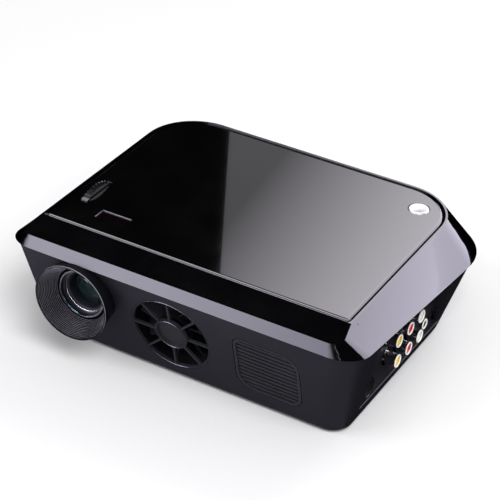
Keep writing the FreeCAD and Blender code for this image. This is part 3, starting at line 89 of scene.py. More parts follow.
def start_group(name, inputs, outputs):
    """A shader node group. inputs maps a name to its default, and outputs a name to its socket kind."""
    group = bpy.data.node_groups.new(name, "ShaderNodeTree")
    for label, default in inputs.items():
        socket = group.interface.new_socket(label, in_out="INPUT", socket_type="NodeSocketFloat")
        socket.default_value = default
    for label, kind in outputs.items():
        group.interface.new_socket(label, in_out="OUTPUT", socket_type=kind)
    return group, group.nodes.new("NodeGroupInput"), group.nodes.new("NodeGroupOutput")


def place_group(tree, group, at=(0, 0), **fills):
    """Put a node group in a material, with its own values."""
    return add(tree, "ShaderNodeGroup", at, node_tree=group, **fills)


def maths(tree, operation, first, second, at=(0, 0), clamp=False):
    """A Math node on two values or sockets."""
    node = tree.nodes.new("ShaderNodeMath")
    node.operation = operation
    node.use_clamp = clamp
    node.location = at
    fill(tree, node.inputs[0], first)
    fill(tree, node.inputs[1], second)
    return node.outputs[0]


def blend(tree, mask, low, high, at=(0, 0)):
    """A colour that goes from low to high as the mask goes from 0 to 1."""
    node = tree.nodes.new("ShaderNodeMix")
    node.data_type = "RGBA"
    node.location = at
    tree.links.new(mask, node.inputs[0])
    for index, value in ((6, low), (7, high)):      # the two colour inputs of a Mix node
        plain = not isinstance(value, bpy.types.NodeSocket)
        fill(tree, node.inputs[index], (*value[:3], 1.0) if plain else value)
    return node.outputs[2]


def spread(tree, value, low_in, high_in, low_out, high_out, at=(0, 0)):
    """Map a value from one range to another, clamped."""
    node = add(tree, "ShaderNodeMapRange", at)
    tree.links.new(value, node.inputs["Value"])
    limits = {"From Min": low_in, "From Max": high_in, "To Min": low_out, "To Max": high_out}
    for name, number in limits.items():
        fill(tree, node.inputs[name], number)
    return node.outputs["Result"]


print("helpers ready")

# %% [markdown]
# ## Shared effects: worn edges
# Handling rubs moulded plastic smooth and pale along its corners. Cycles can tell where a corner is: its
# Bevel node gives the normal that a rounded corner would have, and where that differs from the true
# normal there is an edge. The difference, broken up with noise, is the wear.

# %% Edge wear group
def build_edge_wear():
    group, entry, leave = start_group(
        "edge_wear", {"Width": 0.0006, "Breakup": 0.5}, {"Mask": "NodeSocketFloat"}
    )
    soft = add(group, "ShaderNodeBevel", (-600, 100), samples=6)
    group.links.new(entry.outputs["Width"], soft.inputs["Radius"])
    sharp = add(group, "ShaderNodeNewGeometry", (-600, -100))
    match = add(group, "ShaderNodeVectorMath", (-400, 0), operation="DOT_PRODUCT")
    group.links.new(soft.outputs["Normal"], match.inputs[0])
    group.links.new(sharp.outputs["Normal"], match.inputs[1])
    edge = spread(group, match.outputs["Value"], 0.995, 0.86, 0.0, 1.0, (-200, 0))
    place = add(group, "ShaderNodeTexCoord", (-800, -300))
    patches = add(group, "ShaderNodeTexNoise", (-600, -300), Vector=place.outputs["Object"],
                  Scale=160.0, Detail=4.0, Roughness=0.6)
    broken = spread(group, patches.outputs["Fac"], 0.35, 0.65, 0.0, 1.0, (-400, -300))
    thin = maths(group, "MULTIPLY", broken, entry.outputs["Breakup"], (-200, -300))
    kept = maths(group, "SUBTRACT", 1.0, thin, (-50, -300))
    worn = maths(group, "MULTIPLY", edge, kept, (100, 0), clamp=True)
    group.links.new(worn, leave.inputs["Mask"])
    return group


edge_wear = build_edge_wear()
print("group", edge_wear.name)

# %% [markdown]
# ## Shared effects: moulded grain
# The lower case is spark-eroded plastic: a fine pebbled skin, a few tenths of a millimetre across.
# Noise in object space gives it, because the solids have no texture map and a grain must not swim when
# parts move. Two sizes of noise together look less mechanical than one.

# %% Moulded grain group
def build_grain():
    group, entry, leave = start_group(
        "moulded_grain", {"Scale": 2200.0, "Coarse": 0.3},
        {"Height": "NodeSocketFloat", "Shade": "NodeSocketFloat"}
    )
    place = add(group, "ShaderNodeTexCoord", (-900, 0))
    fine = add(group, "ShaderNodeTexNoise", (-600, 150), Vector=place.outputs["Object"], Detail=2.0)
    group.links.new(entry.outputs["Scale"], fine.inputs["Scale"])
    slow = maths(group, "MULTIPLY", entry.outputs["Scale"], 0.16, (-800, -200))
    pebbles = add(group, "ShaderNodeTexVoronoi", (-600, -150), Vector=place.outputs["Object"])
    group.links.new(slow, pebbles.inputs["Scale"])
    bumps = maths(group, "MULTIPLY", pebbles.outputs["Distance"], entry.outputs["Coarse"], (-350, -150))
    height = maths(group, "ADD", fine.outputs["Fac"], bumps, (-150, 0))
    group.links.new(height, leave.inputs["Height"])
    drift = add(group, "ShaderNodeTexNoise", (-600, -450), Vector=place.outputs["Object"], Scale=14.0,
                Detail=5.0, Roughness=0.55)
    shade = spread(group, drift.outputs["Fac"], 0.3, 0.7, 0.0, 1.0, (-350, -450))
    group.links.new(shade, leave.inputs["Shade"])
    return group


moulded_grain = build_grain()
print("group", moulded_grain.name)

# %% [markdown]
# ## Shared effects: dust
# Dust settles on what faces up, in uneven drifts with a few larger specks. The mask is the upward part
# of the normal times two layers of noise. A little goes a long way on black plastic.

# %% Dust group
def build_dust():
    group, entry, leave = start_group(
        "settled_dust", {"Amount": 0.5, "Specks": 0.5}, {"Mask": "NodeSocketFloat"}
    )
    place = add(group, "ShaderNodeTexCoord", (-1000, 0))
    surface = add(group, "ShaderNodeNewGeometry", (-1000, 300))
    facing = add(group, "ShaderNodeSeparateXYZ", (-800, 300), Vector=surface.outputs["Normal"])
    upward = spread(group, facing.outputs["Z"], 0.2, 1.0, 0.0, 1.0, (-600, 300))
    drifts = add(group, "ShaderNodeTexNoise", (-800, 0), Vector=place.outputs["Object"], Scale=22.0,
                 Detail=8.0, Roughness=0.7)
    film = spread(group, drifts.outputs["Fac"], 0.45, 0.8, 0.0, 1.0, (-600, 0))
    grit = add(group, "ShaderNodeTexVoronoi", (-800, -300), Vector=place.outputs["Object"], Scale=420.0)
    dots = spread(group, grit.outputs["Distance"], 0.10, 0.04, 0.0, 1.0, (-600, -300))
    rare = add(group, "ShaderNodeTexWhiteNoise", (-600, -550), noise_dimensions="3D")
    group.links.new(grit.outputs["Position"], rare.inputs["Vector"])
    chosen = maths(group, "GREATER_THAN", rare.outputs["Value"], 0.86, (-400, -550))
    specks = maths(group, "MULTIPLY", dots, chosen, (-250, -300))
    specks = maths(group, "MULTIPLY", specks, entry.outputs["Specks"], (-100, -300))
    film = maths(group, "MULTIPLY", film, entry.outputs["Amount"], (-250, 0))
    both = maths(group, "ADD", film, specks, (50, 0), clamp=True)
    landed = maths(group, "MULTIPLY", both, upward, (200, 100), clamp=True)
    group.links.new(landed, leave.inputs["Mask"])
    return group


settled_dust = build_dust()
print("group", settled_dust.name)

# %% [markdown]
# ## Shared effects: wiped gloss
# Piano black shows every wipe of a cloth: broad smears that change the shine a little, and hairline
# scratches in all directions. Noise squeezed thin in one direction is a set of scratches, so three of
# them at different angles make a worn polish. The group gives a smear value and a scratch height.

# %% Wiped gloss group
def build_wipes():
    group, entry, leave = start_group(
        "wiped_gloss", {"Scale": 900.0, "Density": 0.5},
        {"Smear": "NodeSocketFloat", "Scratches": "NodeSocketFloat"}
    )
    place = add(group, "ShaderNodeTexCoord", (-1300, 0))
    total = None
    for index, degrees in enumerate((23, 81, 142)):
        row = 300 - 250 * index
        turned = add(group, "ShaderNodeMapping", (-1050, row), Vector=place.outputs["Object"],
                     Rotation=(0.0, 0.0, math.radians(degrees)), Scale=(1.0, 0.012, 1.0))
        lines = add(group, "ShaderNodeTexNoise", (-800, row), Vector=turned.outputs["Vector"],
                    Detail=1.0)
        group.links.new(entry.outputs["Scale"], lines.inputs["Scale"])
        cut = spread(group, lines.outputs["Fac"], 0.70, 0.78, 0.0, 1.0, (-550, row))
        total = cut if total is None else maths(group, "MAXIMUM", total, cut, (-300, row))
    areas = add(group, "ShaderNodeTexNoise", (-800, -500), Vector=place.outputs["Object"], Scale=26.0)
    where = spread(group, areas.outputs["Fac"], 0.45, 0.62, 0.0, 1.0, (-550, -500))
    rubbed = maths(group, "MULTIPLY", total, where, (-100, 0))
    scratches = maths(group, "MULTIPLY", rubbed, entry.outputs["Density"], (50, 0))
    group.links.new(scratches, leave.inputs["Scratches"])
    bent = add(group, "ShaderNodeMapping", (-1050, -800), Vector=place.outputs["Object"],
               Rotation=(0.0, 0.0, 0.5), Scale=(1.0, 0.35, 1.0))
    smears = add(group, "ShaderNodeTexNoise", (-800, -800), Vector=bent.outputs["Vector"], Scale=30.0,
                 Detail=6.0, Roughness=0.6, Distortion=0.6)
    group.links.new(smears.outputs["Fac"], leave.inputs["Smear"])
    return group


wiped_gloss = build_wipes()
print("group", wiped_gloss.name)

# %% [markdown]
# ## Shared effects: turning marks
# Rods, cans and nickel-plated sockets are turned or drawn, which leaves fine lines round or along them.
# Noise stretched a hundred times along one axis gives such lines. The direction is an input, so that one
# group serves a rail along Y and a shaft along Z.

# %% Turning marks group
def build_marks():
    group, entry, leave = start_group(
        "drawn_lines", {"Along X": 1.0, "Along Y": 1.0, "Along Z": 1.0, "Scale": 1500.0},
        {"Lines": "NodeSocketFloat", "Stain": "NodeSocketFloat"}
    )
    place = add(group, "ShaderNodeTexCoord", (-900, 0))
    squeeze = add(group, "ShaderNodeCombineXYZ", (-900, -250))
    for axis in "XYZ":
        group.links.new(entry.outputs["Along " + axis], squeeze.inputs[axis])
    drawn = add(group, "ShaderNodeVectorMath", (-700, 0), operation="MULTIPLY")
    group.links.new(place.outputs["Object"], drawn.inputs[0])
    group.links.new(squeeze.outputs["Vector"], drawn.inputs[1])
    lines = add(group, "ShaderNodeTexNoise", (-450, 0), Vector=drawn.outputs["Vector"], Detail=3.0)
    group.links.new(entry.outputs["Scale"], lines.inputs["Scale"])
    group.links.new(lines.outputs["Fac"], leave.inputs["Lines"])
    spots = add(group, "ShaderNodeTexNoise", (-450, -300), Vector=place.outputs["Object"], Scale=90.0,
                Detail=6.0, Roughness=0.65)
    stain = spread(group, spots.outputs["Fac"], 0.5, 0.75, 0.0, 1.0, (-200, -300))
    group.links.new(stain, leave.inputs["Stain"])
    return group


drawn_lines = build_marks()
print("group", drawn_lines.name)

# %% [markdown]
# ## Finish: piano black
# The upper shell and the lid are high-gloss black plastic. Almost all that one sees of it is
# reflection, so the colour is nearly nothing and the work is in the shine: a clear coat, smears that
# vary its roughness, scratches that catch the light, and a little dust. The moulding also has a very
# slight orange peel, which keeps long reflections from looking like perfect glass. The upright band
# along the front edge of the upper shell is less polished than its top, so there the mask of a
# forward-facing normal takes the coat away and raises the roughness. The same mask turns the shading
# normal of that band about 17 degrees upwards, so that it does not mirror the lens hood below it. That
# is a shortcut in the material, and a shape belongs in the solid: a band that leans more would be the
# true way.

# %% Piano black
DUSTY_GREY = (0.42, 0.40, 0.38)
FRONT_FACING = (-0.90, -0.97)   # where the Y of the normal starts and ends the satin band
BAND_ROUGHNESS = 0.27           # what the band adds to the roughness of the polish
BAND_TURN = 0.30                # added to the Z of its normal, the tangent of 17 degrees


def piano_black(name, colour, shine, dust, satin_front=False):
    material, tree, surface = start_material(name)
    wipes = place_group(tree, wiped_gloss, (-900, 0), Density=0.6)
    settled = place_group(tree, settled_dust, (-900, -300), Amount=dust, Specks=dust * 1.6)
    rubbed = place_group(tree, edge_wear, (-900, -550), Width=0.0004, Breakup=0.7)
    pale = blend(tree, rubbed.outputs["Mask"], colour, [c * 2.2 + 0.003 for c in colour], (-500, 100))
    dusty = maths(tree, "MULTIPLY", settled.outputs["Mask"], 0.05, (-600, -250))
    tree.links.new(blend(tree, dusty, pale, DUSTY_GREY, (-300, 100)), surface.inputs["Base Color"])
    smear = spread(tree, wipes.outputs["Smear"], 0.35, 0.7, shine, shine + 0.035, (-600, 0))
    scored = maths(tree, "MULTIPLY", wipes.outputs["Scratches"], 0.06)
    rough = maths(tree, "ADD", smear, scored, (-400, -50))
    film = maths(tree, "MULTIPLY", settled.outputs["Mask"], 0.08)
    rough = maths(tree, "ADD", rough, film, (-250, -50))
    place = add(tree, "ShaderNodeTexCoord", (-900, -800))
    peel = add(tree, "ShaderNodeTexNoise", (-700, -800), Vector=place.outputs["Object"], Scale=190.0,
               Detail=1.0)
    relief = maths(tree, "SUBTRACT", maths(tree, "MULTIPLY", peel.outputs["Fac"], 0.2),
                   wipes.outputs["Scratches"], (-450, -700))
    bump = add(tree, "ShaderNodeBump", (-250, -700), Strength=0.04, Distance=0.00003, Height=relief)
    tree.links.new(bump.outputs["Normal"], surface.inputs["Normal"])
    surface.inputs["IOR"].default_value = 1.56
    surface.inputs["Coat Weight"].default_value = 1.0
    surface.inputs["Coat Roughness"].default_value = 0.012
    surface.inputs["Coat IOR"].default_value = 1.5
    if satin_front:
        normal = add(tree, "ShaderNodeNewGeometry", (-1100, -1000)).outputs["Normal"]
        facing = add(tree, "ShaderNodeSeparateXYZ", (-900, -1000), Vector=normal)
        front = spread(tree, facing.outputs["Y"], *FRONT_FACING, 0.0, 1.0, (-700, -1000))
        satin = maths(tree, "MULTIPLY", front, BAND_ROUGHNESS)
        rough = maths(tree, "ADD", rough, satin, (-100, -150))
        bare = maths(tree, "SUBTRACT", 1.0, front, (-500, -1000))
        tree.links.new(bare, surface.inputs["Coat Weight"])
        rise = maths(tree, "MULTIPLY", front, BAND_TURN)
        lift = add(tree, "ShaderNodeCombineXYZ", (-700, -1200), Z=rise)
        lifted = add(tree, "ShaderNodeVectorMath", (-500, -1200), operation="ADD")
        tree.links.new(normal, lifted.inputs[0])
        tree.links.new(lift.outputs["Vector"], lifted.inputs[1])
        turned = add(tree, "ShaderNodeVectorMath", (-350, -1200), operation="NORMALIZE")
        tree.links.new(lifted.outputs["Vector"], turned.inputs[0])
        tree.links.new(turned.outputs["Vector"], bump.inputs["Normal"])
    tree.links.new(rough, surface.inputs["Roughness"])
    return material


finishes = {
    "gloss_shell": piano_black("piano_black_shell", (0.0016, 0.0015, 0.0019), 0.03, 0.10,
                               satin_front=True),
    "gloss_lid": piano_black("piano_black_lid", (0.0014, 0.0014, 0.0016), 0.03, 0.12),
}
print("finishes:", sorted(finishes))

# %% [markdown]
# ## Finish: moulded plastics
# The lower case, the grilles, the deck and the gears are all injection moulded. They differ in colour,
# in how coarse the grain is and in how shiny it has been left, so one recipe with a few numbers makes
# them all. Grain goes into the bump, slow colour drift into the base colour, and edges and dust go pale.
# The numbers after the colour are roughness, depth of grain, size of grain, wear on edges, dust, and
# strength of the shine.

# %% Moulded plastic recipe
PLASTIC_DUST = (0.40, 0.38, 0.36)


def moulded(name, colour, rough, grain=0.25, size=2200.0, edge=0.35, dust=0.3, sheen=0.5):
    material, tree, surface = start_material(name)
    skin = place_group(tree, moulded_grain, (-900, 0), Scale=size, Coarse=0.35)
    worn = place_group(tree, edge_wear, (-900, -250), Width=0.0007, Breakup=0.6)
    settled = place_group(tree, settled_dust, (-900, -500), Amount=dust, Specks=dust)
    deep = [c * 0.86 for c in colour]
    light = [min(1.0, c * 1.14 + 0.001) for c in colour]
    drift = blend(tree, skin.outputs["Shade"], deep, light, (-600, 200))
    rub = maths(tree, "MULTIPLY", worn.outputs["Mask"], edge, (-650, -200))
    edged = blend(tree, rub, drift, [c * 1.7 + 0.012 for c in colour], (-400, 200))
    film = maths(tree, "MULTIPLY", settled.outputs["Mask"], 0.08, (-650, -450))
    tree.links.new(blend(tree, film, edged, PLASTIC_DUST, (-200, 200)), surface.inputs["Base Color"])
    base = spread(tree, skin.outputs["Shade"], 0.0, 1.0, rough - 0.04, rough + 0.05, (-600, -50))
    polished = maths(tree, "SUBTRACT", base, maths(tree, "MULTIPLY", rub, 0.25), (-400, -50))
    matted = maths(tree, "ADD", polished, maths(tree, "MULTIPLY", film, 0.8), (-250, -50), clamp=True)
    tree.links.new(matted, surface.inputs["Roughness"])
    bump = add(tree, "ShaderNodeBump", (-250, -350), Strength=grain, Distance=0.00006,
               Height=skin.outputs["Height"])
    tree.links.new(bump.outputs["Normal"], surface.inputs["Normal"])
    surface.inputs["Specular IOR Level"].default_value = sheen
    return material


PLASTICS = {
    "satin_shell": ("satin_charcoal", (0.012, 0.012, 0.017), 0.40, 0.25, 2400.0, 0.4, 0.4, 0.34),
    "black_trim": ("satin_black_trim", (0.021, 0.021, 0.026), 0.34, 0.18, 2600.0, 0.5, 0.2, 0.40),
    "bay_black": ("matt_black_deck", (0.009, 0.009, 0.010), 0.52, 0.40, 1800.0, 0.3, 0.2, 0.35),
    "barrel_black": ("matt_black_barrel", (0.006, 0.006, 0.007), 0.42, 0.15, 3000.0, 0.4, 0.05, 0.4),
    "hub_black": ("hub_rubberised", (0.022, 0.022, 0.024), 0.65, 0.30, 2600.0, 0.3, 0.2),
    "gear_white": ("natural_acetal", (0.78, 0.76, 0.69), 0.34, 0.08, 2000.0, 0.1, 0.1),
    "latch_grey": ("grey_slides", (0.18, 0.18, 0.19), 0.42, 0.20, 2200.0, 0.3, 0.2),
    "jack_black": ("socket_black", (0.010, 0.010, 0.011), 0.30, 0.10, 2600.0, 0.5, 0.1),
    "core_yellow": ("core_yellow", (0.88, 0.62, 0.03), 0.30, 0.06, 2600.0, 0.1, 0.05),
    "core_red": ("core_red", (0.68, 0.014, 0.02), 0.30, 0.06, 2600.0, 0.1, 0.05),
    "core_white": ("core_white", (0.82, 0.81, 0.78), 0.30, 0.06, 2600.0, 0.1, 0.05),
}
for plastic, recipe in PLASTICS.items():
    finishes[plastic] = moulded(*recipe)
print("moulded finishes:", len(finishes))

# %% [markdown]
# ## Finish: smoked window and silver button
# The small window over the remote-control sensor is deep violet-black plastic that lets infrared
# through. It is polished, so it takes the gloss recipe with a warmer colour. The button is plastic under
# silver lacquer: flakes of metal in a clear film. A cell pattern that changes the roughness from flake
# to flake reads as lacquer, where an even metal would read as steel.

# %% Window and button
finishes["smoked_window"] = piano_black("smoked_window", (0.0024, 0.0010, 0.0016), 0.03, 0.1)


def silver_lacquer():
    material, tree, surface = start_material("silver_lacquer")
    place = add(tree, "ShaderNodeTexCoord", (-1100, 0))
    flakes = add(tree, "ShaderNodeTexVoronoi", (-900, 0), Vector=place.outputs["Object"], Scale=5200.0)
    flake = add(tree, "ShaderNodeSeparateColor", (-700, 0), Color=flakes.outputs["Color"])
    worn = place_group(tree, edge_wear, (-900, -300), Width=0.0004, Breakup=0.6)
    wipes = place_group(tree, wiped_gloss, (-900, -550), Density=0.8)
    tone = spread(tree, flake.outputs["Red"], 0.0, 1.0, 0.0, 1.0, (-500, 100))
    paint = blend(tree, tone, (0.70, 0.70, 0.71), (0.86, 0.86, 0.87), (-300, 100))
    tree.links.new(blend(tree, worn.outputs["Mask"], paint, (0.90, 0.90, 0.90), (-100, 100)),
                   surface.inputs["Base Color"])
    rough = spread(tree, flake.outputs["Green"], 0.0, 1.0, 0.24, 0.36, (-500, -150))
    scored = maths(tree, "MULTIPLY", wipes.outputs["Scratches"], 0.15)
    rough = maths(tree, "ADD", rough, scored, (-300, -150))
    tree.links.new(rough, surface.inputs["Roughness"])
    bump = add(tree, "ShaderNodeBump", (-300, -400), Strength=0.04, Distance=0.00003,
               Height=flake.outputs["Blue"])
    tree.links.new(bump.outputs["Normal"], surface.inputs["Normal"])
    surface.inputs["Metallic"].default_value = 0.55
    surface.inputs["Coat Weight"].default_value = 0.5
    return material


finishes["silver_button"] = silver_lacquer()
print("window and button done")

# %% [markdown]
# ## Finish: metals
# Sockets and lens rings are bright nickel, while rails, pins, screws and the motor can are plain steel,
# and the heat sink is extruded aluminium. All share one recipe: a metallic surface whose lines and
# stains come from the turning-marks group. Nickel is nearly a mirror, so its lines are faint.

# %% Metal recipe
def metal(name, colour, rough, along=(1.0, 1.0, 1.0), lines=0.10, stain=0.3):
    material, tree, surface = start_material(name)
    marks = place_group(tree, drawn_lines, (-900, 0),
                        Along_X=along[0], Along_Y=along[1], Along_Z=along[2])
    worn = place_group(tree, edge_wear, (-900, -300), Width=0.0004, Breakup=0.5)
    spots = maths(tree, "MULTIPLY", marks.outputs["Stain"], stain, (-650, -100))
    dull = blend(tree, spots, colour, [c * 0.62 for c in colour], (-450, 150))
    bright = [min(1.0, c * 1.2 + 0.04) for c in colour]
    tree.links.new(blend(tree, worn.outputs["Mask"], dull, bright, (-250, 150)),
                   surface.inputs["Base Color"])
    base = spread(tree, marks.outputs["Lines"], 0.3, 0.7, rough - 0.04, rough + 0.06, (-650, 0))
    spotted = maths(tree, "MULTIPLY", spots, 0.25)
    tree.links.new(maths(tree, "ADD", base, spotted, (-400, -50), clamp=True),
                   surface.inputs["Roughness"])
    bump = add(tree, "ShaderNodeBump", (-250, -300), Strength=lines, Distance=0.00004,
               Height=marks.outputs["Lines"])
    tree.links.new(bump.outputs["Normal"], surface.inputs["Normal"])
    surface.inputs["Metallic"].default_value = 1.0
    return material


METALS = {
    "socket_chrome": ("bright_nickel", (0.78, 0.77, 0.75), 0.10, (0.02, 1.0, 1.0), 0.05),
    "jack_ring": ("jack_nickel", (0.74, 0.73, 0.70), 0.14, (0.02, 1.0, 1.0), 0.05),
    "bright_ring": ("polished_ring", (0.82, 0.83, 0.86), 0.10, (1.0, 0.05, 1.0), 0.04, 0.1),
    "steel": ("ground_steel", (0.56, 0.56, 0.57), 0.26, (1.0, 0.02, 1.0), 0.15),
    "motor_can": ("plated_can", (0.50, 0.50, 0.50), 0.32, (1.0, 1.0, 0.02), 0.15),
    "sink_aluminium": ("extruded_aluminium", (0.70, 0.71, 0.72), 0.36, (1.0, 1.0, 0.02), 0.25),
}
for alloy, recipe in METALS.items():
    finishes[alloy] = metal(*recipe)
print("metal finishes done")

# %% [markdown]
# ## Finish: coated glass
# A projector's lens is coated against stray light, and the coating shows as faint green and amber where
# it mirrors the room. The Principled BSDF has a thin film for this, but its thickness is one number, so
# a Layer Weight drives the base tint from teal in the middle to amber at the rim: a painted reflection
# of the coating's colours, beside the real tint that the coating gives the reflection itself. Glass
# keeps a plain transmission, and only its colour and roughness change over the surface.

# %% Coated glass
def coated_glass(name, middle, rim, rough=0.0, transmission=1.0, coating=(0.5, 0.9, 1.0)):
    material, tree, surface = start_material(name)
    angle = add(tree, "ShaderNodeLayerWeight", (-900, 200), Blend=0.35)
    wipes = place_group(tree, wiped_gloss, (-900, -100), Density=0.3)
    settled = place_group(tree, settled_dust, (-900, -350), Amount=0.3, Specks=0.3)
    # The teal-to-amber base tint is a painted reflection of the coating's colours.
    painted_coating_reflection = blend(tree, angle.outputs["Facing"], middle, rim, (-500, 200))
    haze = maths(tree, "MULTIPLY", settled.outputs["Mask"], 0.05, (-600, -300))
    tree.links.new(blend(tree, haze, painted_coating_reflection, (0.8, 0.8, 0.8), (-250, 200)), surface.inputs["Base Color"])
    tree.links.new(spread(tree, wipes.outputs["Smear"], 0.35, 0.75, rough, rough + 0.02, (-500, -100)),
                   surface.inputs["Roughness"])
    surface.inputs["Specular Tint"].default_value = (*coating, 1.0)
    surface.inputs["Transmission Weight"].default_value = transmission
    surface.inputs["IOR"].default_value = 1.62
    return material


finishes["lens_glass"] = coated_glass("coated_lens", (0.16, 0.22, 0.23), (0.30, 0.20, 0.12))
finishes["panel_glass"] = coated_glass("panel_glass", (0.10, 0.14, 0.17), (0.08, 0.07, 0.12), 0.08, 0.8,
                                       (0.9, 0.8, 1.0))
print("glass finishes done")

# %% [markdown]
# ## Finish: boards, lamp, cone and feet
# The hidden pieces still deserve a true surface, because the lid opens and the vents let one look in. A
# circuit board is green lacquer over copper, drawn here by a brick pattern that stands for its tracks.
# The speaker cone is pressed paper, the lamp board is white paint, and the feet are rubber.

# %% Board, paper and rubber
def circuit_board():
    material, tree, surface = start_material("solder_mask")
    place = add(tree, "ShaderNodeTexCoord", (-1100, 0))
    tracks = add(tree, "ShaderNodeTexBrick", (-850, 0), Vector=place.outputs["Object"], Scale=260.0,
                 Color1=(0.0, 0.0, 0.0, 1.0), Color2=(0.35, 0.35, 0.35, 1.0),
                 Mortar=(1.0, 1.0, 1.0, 1.0))
    tracks.inputs["Mortar Size"].default_value = 0.06
    skin = place_group(tree, moulded_grain, (-850, -300), Scale=900.0, Coarse=0.2)
    lacquer, over_copper, deep_green = (0.010, 0.085, 0.035), (0.030, 0.20, 0.075), (0.02, 0.06, 0.03)
    copper = blend(tree, tracks.outputs["Color"], lacquer, over_copper, (-500, 150))
    uneven = maths(tree, "MULTIPLY", skin.outputs["Shade"], 0.3)
    shaded = blend(tree, uneven, copper, deep_green, (-250, 150))
    tree.links.new(shaded, surface.inputs["Base Color"])
    tree.links.new(spread(tree, skin.outputs["Shade"], 0.0, 1.0, 0.25, 0.4, (-500, -150)),
                   surface.inputs["Roughness"])
    bump = add(tree, "ShaderNodeBump", (-250, -300), Strength=0.3, Distance=0.00005,
               Height=tracks.outputs["Fac"])
    tree.links.new(bump.outputs["Normal"], surface.inputs["Normal"])
    return material


finishes["board_green"] = circuit_board()
finishes["cone_paper"] = moulded("pressed_paper", (0.030, 0.029, 0.028), 0.85, 0.9, 700.0, 0.2, 0.3)
finishes["lamp_white"] = moulded("white_lamp_board", (0.74, 0.74, 0.71), 0.42, 0.1, 1500.0, 0.1, 0.1)
finishes["foot_rubber"] = moulded("foot_rubber", (0.020, 0.020, 0.020), 0.80, 0.6, 1200.0, 0.8, 0.4)
print(len(finishes), "finishes")

# %% [markdown]
# ## Dressing the solids
# Every solid names the slot that it takes its finish from. Four of them have a finish of their own:
# the hood, which swallows light, and the knurled wheel are darker on the real object than their slot,
# and the fan with its frame, which are matt and sit in the dark behind the grille, have their colour
# darkened to near black, which is painted shade. Each of those has a finish of its own.

# %% Give every solid its finish
DARKER = {
    "hood_black": ("satin_black_hood", (0.004, 0.004, 0.006), 0.36, 0.12, 2600.0, 0.5, 0.1, 0.13),
    # The fan rotor and its frame are darkened to near black: painted shade of the dark behind the
    # grille.
    "rotor_black": ("matt_fan_rotor", (0.006, 0.006, 0.008), 0.62, 0.20, 2600.0, 0.6, 0.3, 0.04),
    "wheel_black": ("knurled_wheel", (0.004, 0.004, 0.005), 0.22, 0.10, 2600.0, 0.6, 0.1, 0.45),
}
for plastic, recipe in DARKER.items():
    finishes[plastic] = moulded(*recipe)
own_finish = {"lens_hood": "hood_black", "focus_wheel": "wheel_black", "fan_rotor": "rotor_black",
              "fan_frame": "rotor_black"}
for name, solid in nodes.items():
    solid.data.materials.clear()
    solid.data.materials.append(finishes[own_finish.get(name, slot_of[name])])
missing = sorted(set(slot_of.values()) - set(finishes))
print("dressed", len(nodes), "solids, finishes still missing:", missing)

# %% [markdown]
# ## New pieces: a revolved ring
# Some trim is too fine for the solids, such as the thin rings inside the lens. They are turned pieces,
# so the quickest true way is to spin a small profile round an axis in bmesh. The helper takes the
# profile as pairs of radius and depth, and keeps the faces smooth between its corners.

# %% Spin helper
ALONG_Y = (0.0, 1.0, 0.0)
ALONG_X = (1.0, 0.0, 0.0)
CORNER_ROUNDING = 0.0001


def spin(name, profile, centre, axis, body, slot, steps=96, finish=None):
    """A closed ring: a profile of (radius, depth) pairs turned about an axis through centre."""
    axis = Vector(axis).normalized()
    side = axis.orthogonal().normalized()
    other = axis.cross(side)
    mesh = bpy.data.meshes.new(name)
    shape = bmesh.new()
    rows = []
    for step in range(steps):
        turn = 2.0 * math.pi * step / steps
        outward = side * math.cos(turn) + other * math.sin(turn)
        rows.append([shape.verts.new(Vector(centre) + outward * r + axis * d) for r, d in profile])
    for step in range(steps):
        here, following = rows[step], rows[(step + 1) % steps]
        for index in range(len(profile)):
            after = (index + 1) % len(profile)
            shape.faces.new((here[index], here[after], following[after], following[index]))
    bmesh.ops.recalc_face_normals(shape, faces=shape.faces)
    for face in shape.faces:
        face.smooth = True
    shape.to_mesh(mesh)
    shape.free()
    piece = bpy.data.objects.new(name, mesh)
    bpy.context.collection.objects.link(piece)
    rounding = piece.modifiers.new("rounding", "BEVEL")
    rounding.width = CORNER_ROUNDING
    rounding.segments = 2
    rounding.limit_method = "ANGLE"
    mesh.materials.append(finishes[finish or slot])
    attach(piece, body)
    return piece


print("spin helper ready")

# %% [markdown]
# ## New pieces: rings inside the lens
# The nose of the barrel steps down to the glass, and each step carries a thin metal edge that glints in
# a full circle. The first ring lies on the second step, and a blackened ring with a turned lip holds
# the front glass in. Both are given as a section and turned about the lens axis, and they ride on the
# barrel.

# %% Rings inside the lens
SECOND_STEP = 0.00395           # depths behind the nose of the barrel
GLASS_SEAT = 0.00595
lens_low, lens_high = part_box("front_lens")
nose_low, nose_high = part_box("lens_barrel")
lens_x, lens_z = (lens_low.x + lens_high.x) / 2.0, (lens_low.z + lens_high.z) / 2.0
step_ring = spin("step_ring", [(0.01405, 0.0), (0.01455, 0.0), (0.01455, -0.0006), (0.01405, -0.0006)],
                 (lens_x, nose_low.y + SECOND_STEP, lens_z), ALONG_Y, "barrel", "bright_ring")
glass_ring = spin("glass_ring", [(0.0127, 0.0), (0.0136, 0.0), (0.0136, -0.0014), (0.0132, -0.0014),
                                 (0.0127, -0.0007)],
                  (lens_x, nose_low.y + GLASS_SEAT, lens_z), ALONG_Y, "barrel", "barrel_black")
print("lens axis at", round(lens_x, 4), round(lens_z, 4), "rings", step_ring.name, glass_ring.name)

# %% [markdown]
# ## New pieces: polished edges of the fan grille
# The grille is one moulding, and where its tool was split, the front edges of its hub and its rim are
# polished and slightly rounded. They draw two fine circles on an otherwise satin part, as black chrome
# would. Each is a small rounded section turned about the grille's own axis, which leans with the wall.

# %% Grille edges
finishes["polished_edge"] = metal("black_chrome_edge", (0.12, 0.12, 0.14), 0.20, lines=0.04, stain=0.1)
LEAN = math.radians(13.8)       # of the front wall and the grille in it
HALF_DEPTH = 0.0011
HUB_EDGE_RADIUS = 0.01075
grille_axis = Vector((0.0, -math.cos(LEAN), -math.sin(LEAN)))
grille_low, grille_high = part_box("fan_grille")
grille_radius = (grille_high.x - grille_low.x) / 2.0
grille_face = (grille_low + grille_high) / 2.0 + grille_axis * HALF_DEPTH


